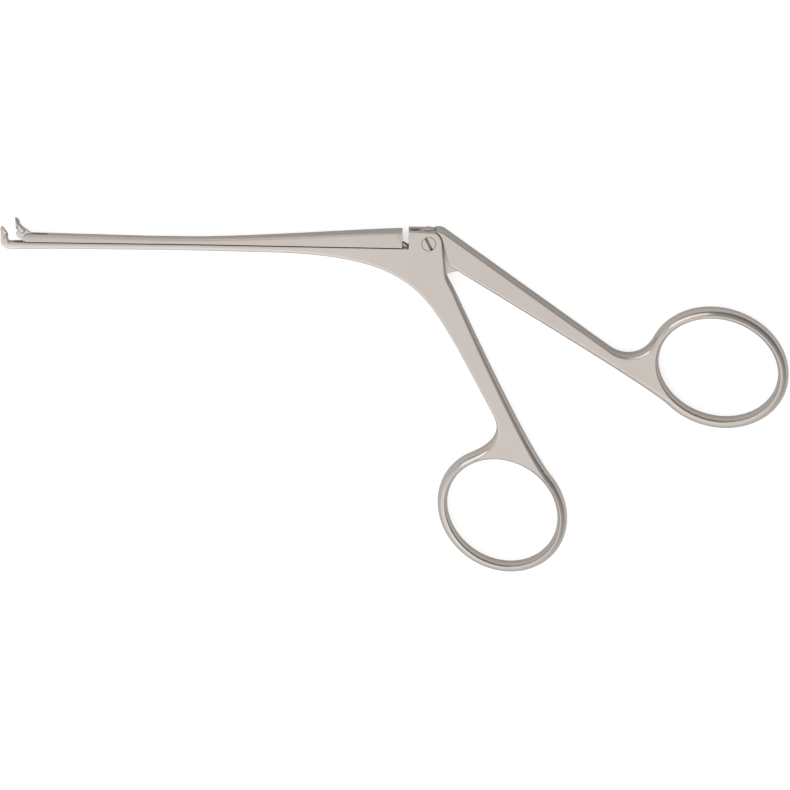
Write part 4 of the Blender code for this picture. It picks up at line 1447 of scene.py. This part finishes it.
@dataclass
class CupJaw:
    """The moving cup on its thin lug, drawn shut about its pin and turned open."""

    shop: Shop
    cups: Cups = field(default_factory=Cups)
    eye_radius: float = 0.52
    lug_half: float = 0.45
    neck_half: float = 0.75

    def lug(self) -> Outline:
        """Side view of the lug: eye, back, cup root and heel."""
        root, spacing = self.cups.middle(), self.shop.bench.pin_spacing
        shape = Outline(SHARP_EDGE)
        shape.arc((0, 0), self.eye_radius, math.pi, 2 * math.pi, 24)
        shape.line((0.62, spacing), (0.6, spacing + 0.75), (0.25, spacing + 1.1))
        shape.line(*from_point(
            root, (3.23, -0.12), (2.46, -0.04), (1.79, 0.06), (1.28, 0.22), (0.73, 0.3),
            (0.53, -0.2), (0.81, -0.94), (1.28, -1.12), (1.37, -1.5), (1.27, -1.78)))
        shape.line(
            (-2.6, 0.84), (-2.42, 0.78), (-2.3, 0.64), (-2.0, 0.58), (-1.3, 0.62), (-0.8, 0.42))
        return shape

    def neck(self) -> Outline:
        """Side view of the thick neck between the lug and the cup."""
        root = self.cups.middle()
        shape = Outline(NECK_EDGE)
        shape.line(*from_point(
            root, (2.53, -1.05), (2.58, -0.35), (2.41, -0.06), (1.79, 0.04), (1.33, 0.2),
            (0.68, 0.3), (0.58, -0.25), (0.91, -0.85), (1.31, -1.05), (1.93, -1.25)))
        return shape

    def drive_slot(self) -> Outline:
        """Side view of the slotted hole in which the drive pin moves a little outward and back."""
        bench = self.shop.bench
        way = QUARTER_TURN + bench.jaw_swing / 2
        hole, near = bench.pin_bore, bench.pin_spacing
        far = near / math.cos(bench.jaw_swing / 2)
        slot = Outline(SHARP_EDGE)
        slot.arc(far * heading(way), hole, way - QUARTER_TURN, way + QUARTER_TURN)
        slot.arc(near * heading(way), hole, way + QUARTER_TURN, way + 3 * QUARTER_TURN)
        return slot

    def build(self) -> bpy.types.Object:
        """Draw the lug, join the neck and cup, cut the hollow and holes, and dress the piece."""
        bench, plates, steel = self.shop.bench, self.shop.plates, self.shop.steel
        blank = Blank("cup_jaw_piece", plates.plate("lug", [self.lug()], self.lug_half, steel, 3))
        centre = self.cups.middle() - self.cups.gap * turned((0, 1), self.cups.rim_angle)
        blank.work(Work.JOIN, plates.plate("jaw_neck", [self.neck()], self.neck_half, steel, 5))
        blank.work(Work.JOIN, self.cups.egg("jaw_cup", centre, 0.0, -1))
        blank.work(Work.CUT, self.cups.egg("jaw_cup_hollow", centre, self.cups.wall))
        high = bench.half_handle
        blank.work(Work.CUT, rod("jaw_pivot_hole", (0, 0), bench.pin_bore, -high, high))
        slot = plates.plate("jaw_drive_slot", [self.drive_slot()], bench.half_shaft, steel, 1)
        blank.work(Work.CUT, slot)
        turn = Matrix.Rotation(-bench.jaw_swing, 4, "Z")
        open_jaw = Matrix.Translation(bench.jaw_pin.to_3d()) @ turn
        # Light painted shade darkens the colour in the jaw's nooks.
        finish = SteelFinish(
            "polished_steel_jaw", (0.7, 0.675, 0.65), 0.2, 30.0,
            polish=0.12, painted_shade=0.5, painted_shade_reach=0.0004)
        return blank.finish(bench.to_frame() @ open_jaw, finish)


@dataclass(frozen=True)
class SoftBox:
    """A soft box that faces the instrument.

    Attributes:
        name: Name of the lamp.
        place: Where it hangs, in metres.
        size: Its two sides, in metres.
        power: Its power in watts.
    """

    name: str
    place: tuple[float, float, float]
    size: tuple[float, float]
    power: float

    def hang(self) -> None:
        """Hang the lamp and turn it towards the instrument."""
        data = bpy.data.lights.new(self.name, "AREA")
        data.shape = "RECTANGLE"
        data.size, data.size_y = self.size
        data.energy = self.power
        item = bpy.data.objects.new(self.name, data)
        item.location = self.place
        item.rotation_euler = (-Vector(self.place)).to_track_quat("-Z", "Y").to_euler()
        bpy.context.scene.collection.objects.link(item)


@dataclass(frozen=True)
class Studio:
    """Plain white table, soft light and the camera at the photograph's angle.

    Attributes:
        tilt: Lean of the camera from straight above, towards +Y.
        roll: Turn of the camera about the vertical.
        aim: Point on the middle plane at the centre of the picture, from the screw's axis.
        field_width: Width of the picture on the middle plane, in metres.
        lens: Focal length, long enough to draw nearly parallel.
        clip: Nearest and farthest distance that the camera shows, in metres.
        bright: Strength of the tent at the middle of its bright side.
        dark: Strength of the tent on its dark side.
        dark_from: Cosine of the angle off the bright side from which the tent is darkest.
        bright_side: Direction of the middle of the bright side.
        table_size: Half side of the table, in metres.
        table_drop: How far the table lies below the instrument, in metres.
        table_white: Share of the light that the table gives back.
        table_lift: How much the table's own white adds to what the camera sees of it.
        lamps: The soft boxes.
    """

    bench: Bench
    tilt: float = math.radians(15.0)
    roll: float = math.radians(0.78)
    aim: tuple[float, float] = (-6.346, -31.889)
    field_width: float = 0.158
    lens: float = 1500.0
    clip: tuple[float, float] = (0.5, 200.0)
    bright: float = 1.05
    dark: float = 0.12
    dark_from: float = -0.8
    bright_side: tuple[float, float, float] = (-0.6, -0.6, 0.52)
    table_size: float = 3.0
    table_drop: float = 0.00002
    table_white: float = 0.85
    table_lift: float = 0.62
    lamps: tuple[SoftBox, ...] = (
        SoftBox("overhead_box", (-0.1, -0.35, 1.3), (1.1, 0.8), 0.12),
        SoftBox("window_box", (-0.42, 1.04, 0.7), (1.1, 0.5), 1.45),
        SoftBox("front_box", (0.0, -0.85, 0.8), (1.6, 0.6), 0.95),
    )

    def camera(self) -> None:
        """Place the camera and make it the scene's."""
        data = bpy.data.cameras.new("studio_camera")
        data.lens = self.lens
        data.clip_start, data.clip_end = self.clip
        item = bpy.data.objects.new("studio_camera", data)
        bpy.context.scene.collection.objects.link(item)
        distance = self.field_width * self.lens / data.sensor_width
        target = self.bench.to_frame() @ Vector((*self.aim, 0))
        turn = Matrix.Rotation(self.roll, 4, "Z") @ Matrix.Rotation(-self.tilt, 4, "X")
        item.matrix_world = Matrix.Translation(target) @ turn @ Matrix.Translation((0, 0, distance))
        bpy.context.scene.camera = item

    def table(self) -> None:
        """Lay a white table under the instrument."""
        bm = bmesh.new()
        bmesh.ops.create_grid(bm, x_segments=1, y_segments=1, size=self.table_size)
        item = bpy.data.objects.new("table_top", to_mesh("table_top", bm))
        item.location.z = -self.table_drop
        bpy.context.scene.collection.objects.link(item)
        sketch = MaterialSketch("white_table")
        path = sketch.add("ShaderNodeLightPath").outputs
        glow = sketch.maths("MULTIPLY", path["Is Camera Ray"], self.table_lift)
        for name, value in (
                ("Base Color", (self.table_white, self.table_white, self.table_white, 1.0)),
                ("Roughness", 0.9), ("Specular IOR Level", 0.2),
                ("Emission Color", WHITE), ("Emission Strength", glow)):
            sketch.feed(sketch.shader.inputs[name], value)
        item.data.materials.append(sketch.material)

    def sky(self) -> None:
        """Surround the table with a pale tent, bright on one side; the camera sees plain white."""
        world = bpy.data.worlds.new("studio_tent")
        world.use_nodes = True
        bpy.context.scene.world = world
        nodes, links = world.node_tree.nodes, world.node_tree.links
        way = nodes.new("ShaderNodeTexCoord").outputs["Generated"]
        facing = nodes.new("ShaderNodeVectorMath")
        facing.operation = "DOT_PRODUCT"
        links.new(way, facing.inputs[0])
        facing.inputs[1].default_value = Vector(self.bright_side).normalized()
        shade = nodes.new("ShaderNodeMapRange")
        links.new(facing.outputs["Value"], shade.inputs["Value"])
        for name, value in (
                ("From Min", self.dark_from), ("From Max", 1.0),
                ("To Min", self.dark), ("To Max", self.bright)):
            shade.inputs[name].default_value = value
        tent = nodes["Background"]
        tent.inputs["Color"].default_value = (1.0, 0.99, 0.98, 1.0)
        links.new(shade.outputs["Result"], tent.inputs["Strength"])
        white = nodes.new("ShaderNodeBackground")
        white.inputs["Color"].default_value = WHITE
        path = nodes.new("ShaderNodeLightPath")
        seen = nodes.new("ShaderNodeMixShader")
        links.new(path.outputs["Is Camera Ray"], seen.inputs[0])
        links.new(tent.outputs[0], seen.inputs[1])
        links.new(white.outputs[0], seen.inputs[2])
        links.new(seen.outputs[0], nodes["World Output"].inputs[0])

    def build(self) -> None:
        """Set up the whole studio."""
        self.camera()
        self.table()
        self.sky()
        for lamp in self.lamps:
            lamp.hang()
        bpy.context.scene.view_settings.view_transform = "Standard"


def main() -> None:
    """Load the frame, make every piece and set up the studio."""
    logging.basicConfig(level=logging.INFO, format="%(name)s: %(message)s")
    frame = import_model()
    bench = Bench.from_frame(frame)
    shop = Shop(bench)
    plan = (
        (FixedHandle(shop), "frame", "satin_steel_fixed", "fixed_handle"),
        (SlideShaft(shop), "slide", "satin_steel_slide", "slide_shaft"),
        (ThumbHandle(shop), "thumb", "satin_steel_thumb", "thumb_handle"),
        (PivotScrew(shop), "frame", "screw_steel", "pivot_screw"),
        (Rivet(shop, "jaw_pivot_pin", bench.jaw_pin), "frame", "pin_steel", "jaw_pivot_pin"),
        (Rivet(shop, "jaw_drive_pin", bench.drive_pin), "slide", "pin_steel", "jaw_drive_pin"),
        (CupJaw(shop), "jaw", "polished_steel_jaw", "cup_jaw"),
    )
    for maker, body, slot, node in plan:
        piece = maker.build()
        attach(piece, body)
        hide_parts(node)
        LOG.info("%s rides on %s with %d faces", piece.name, body, len(piece.data.polygons))
    Studio(bench).build()


if __name__ == "__main__":
    main()
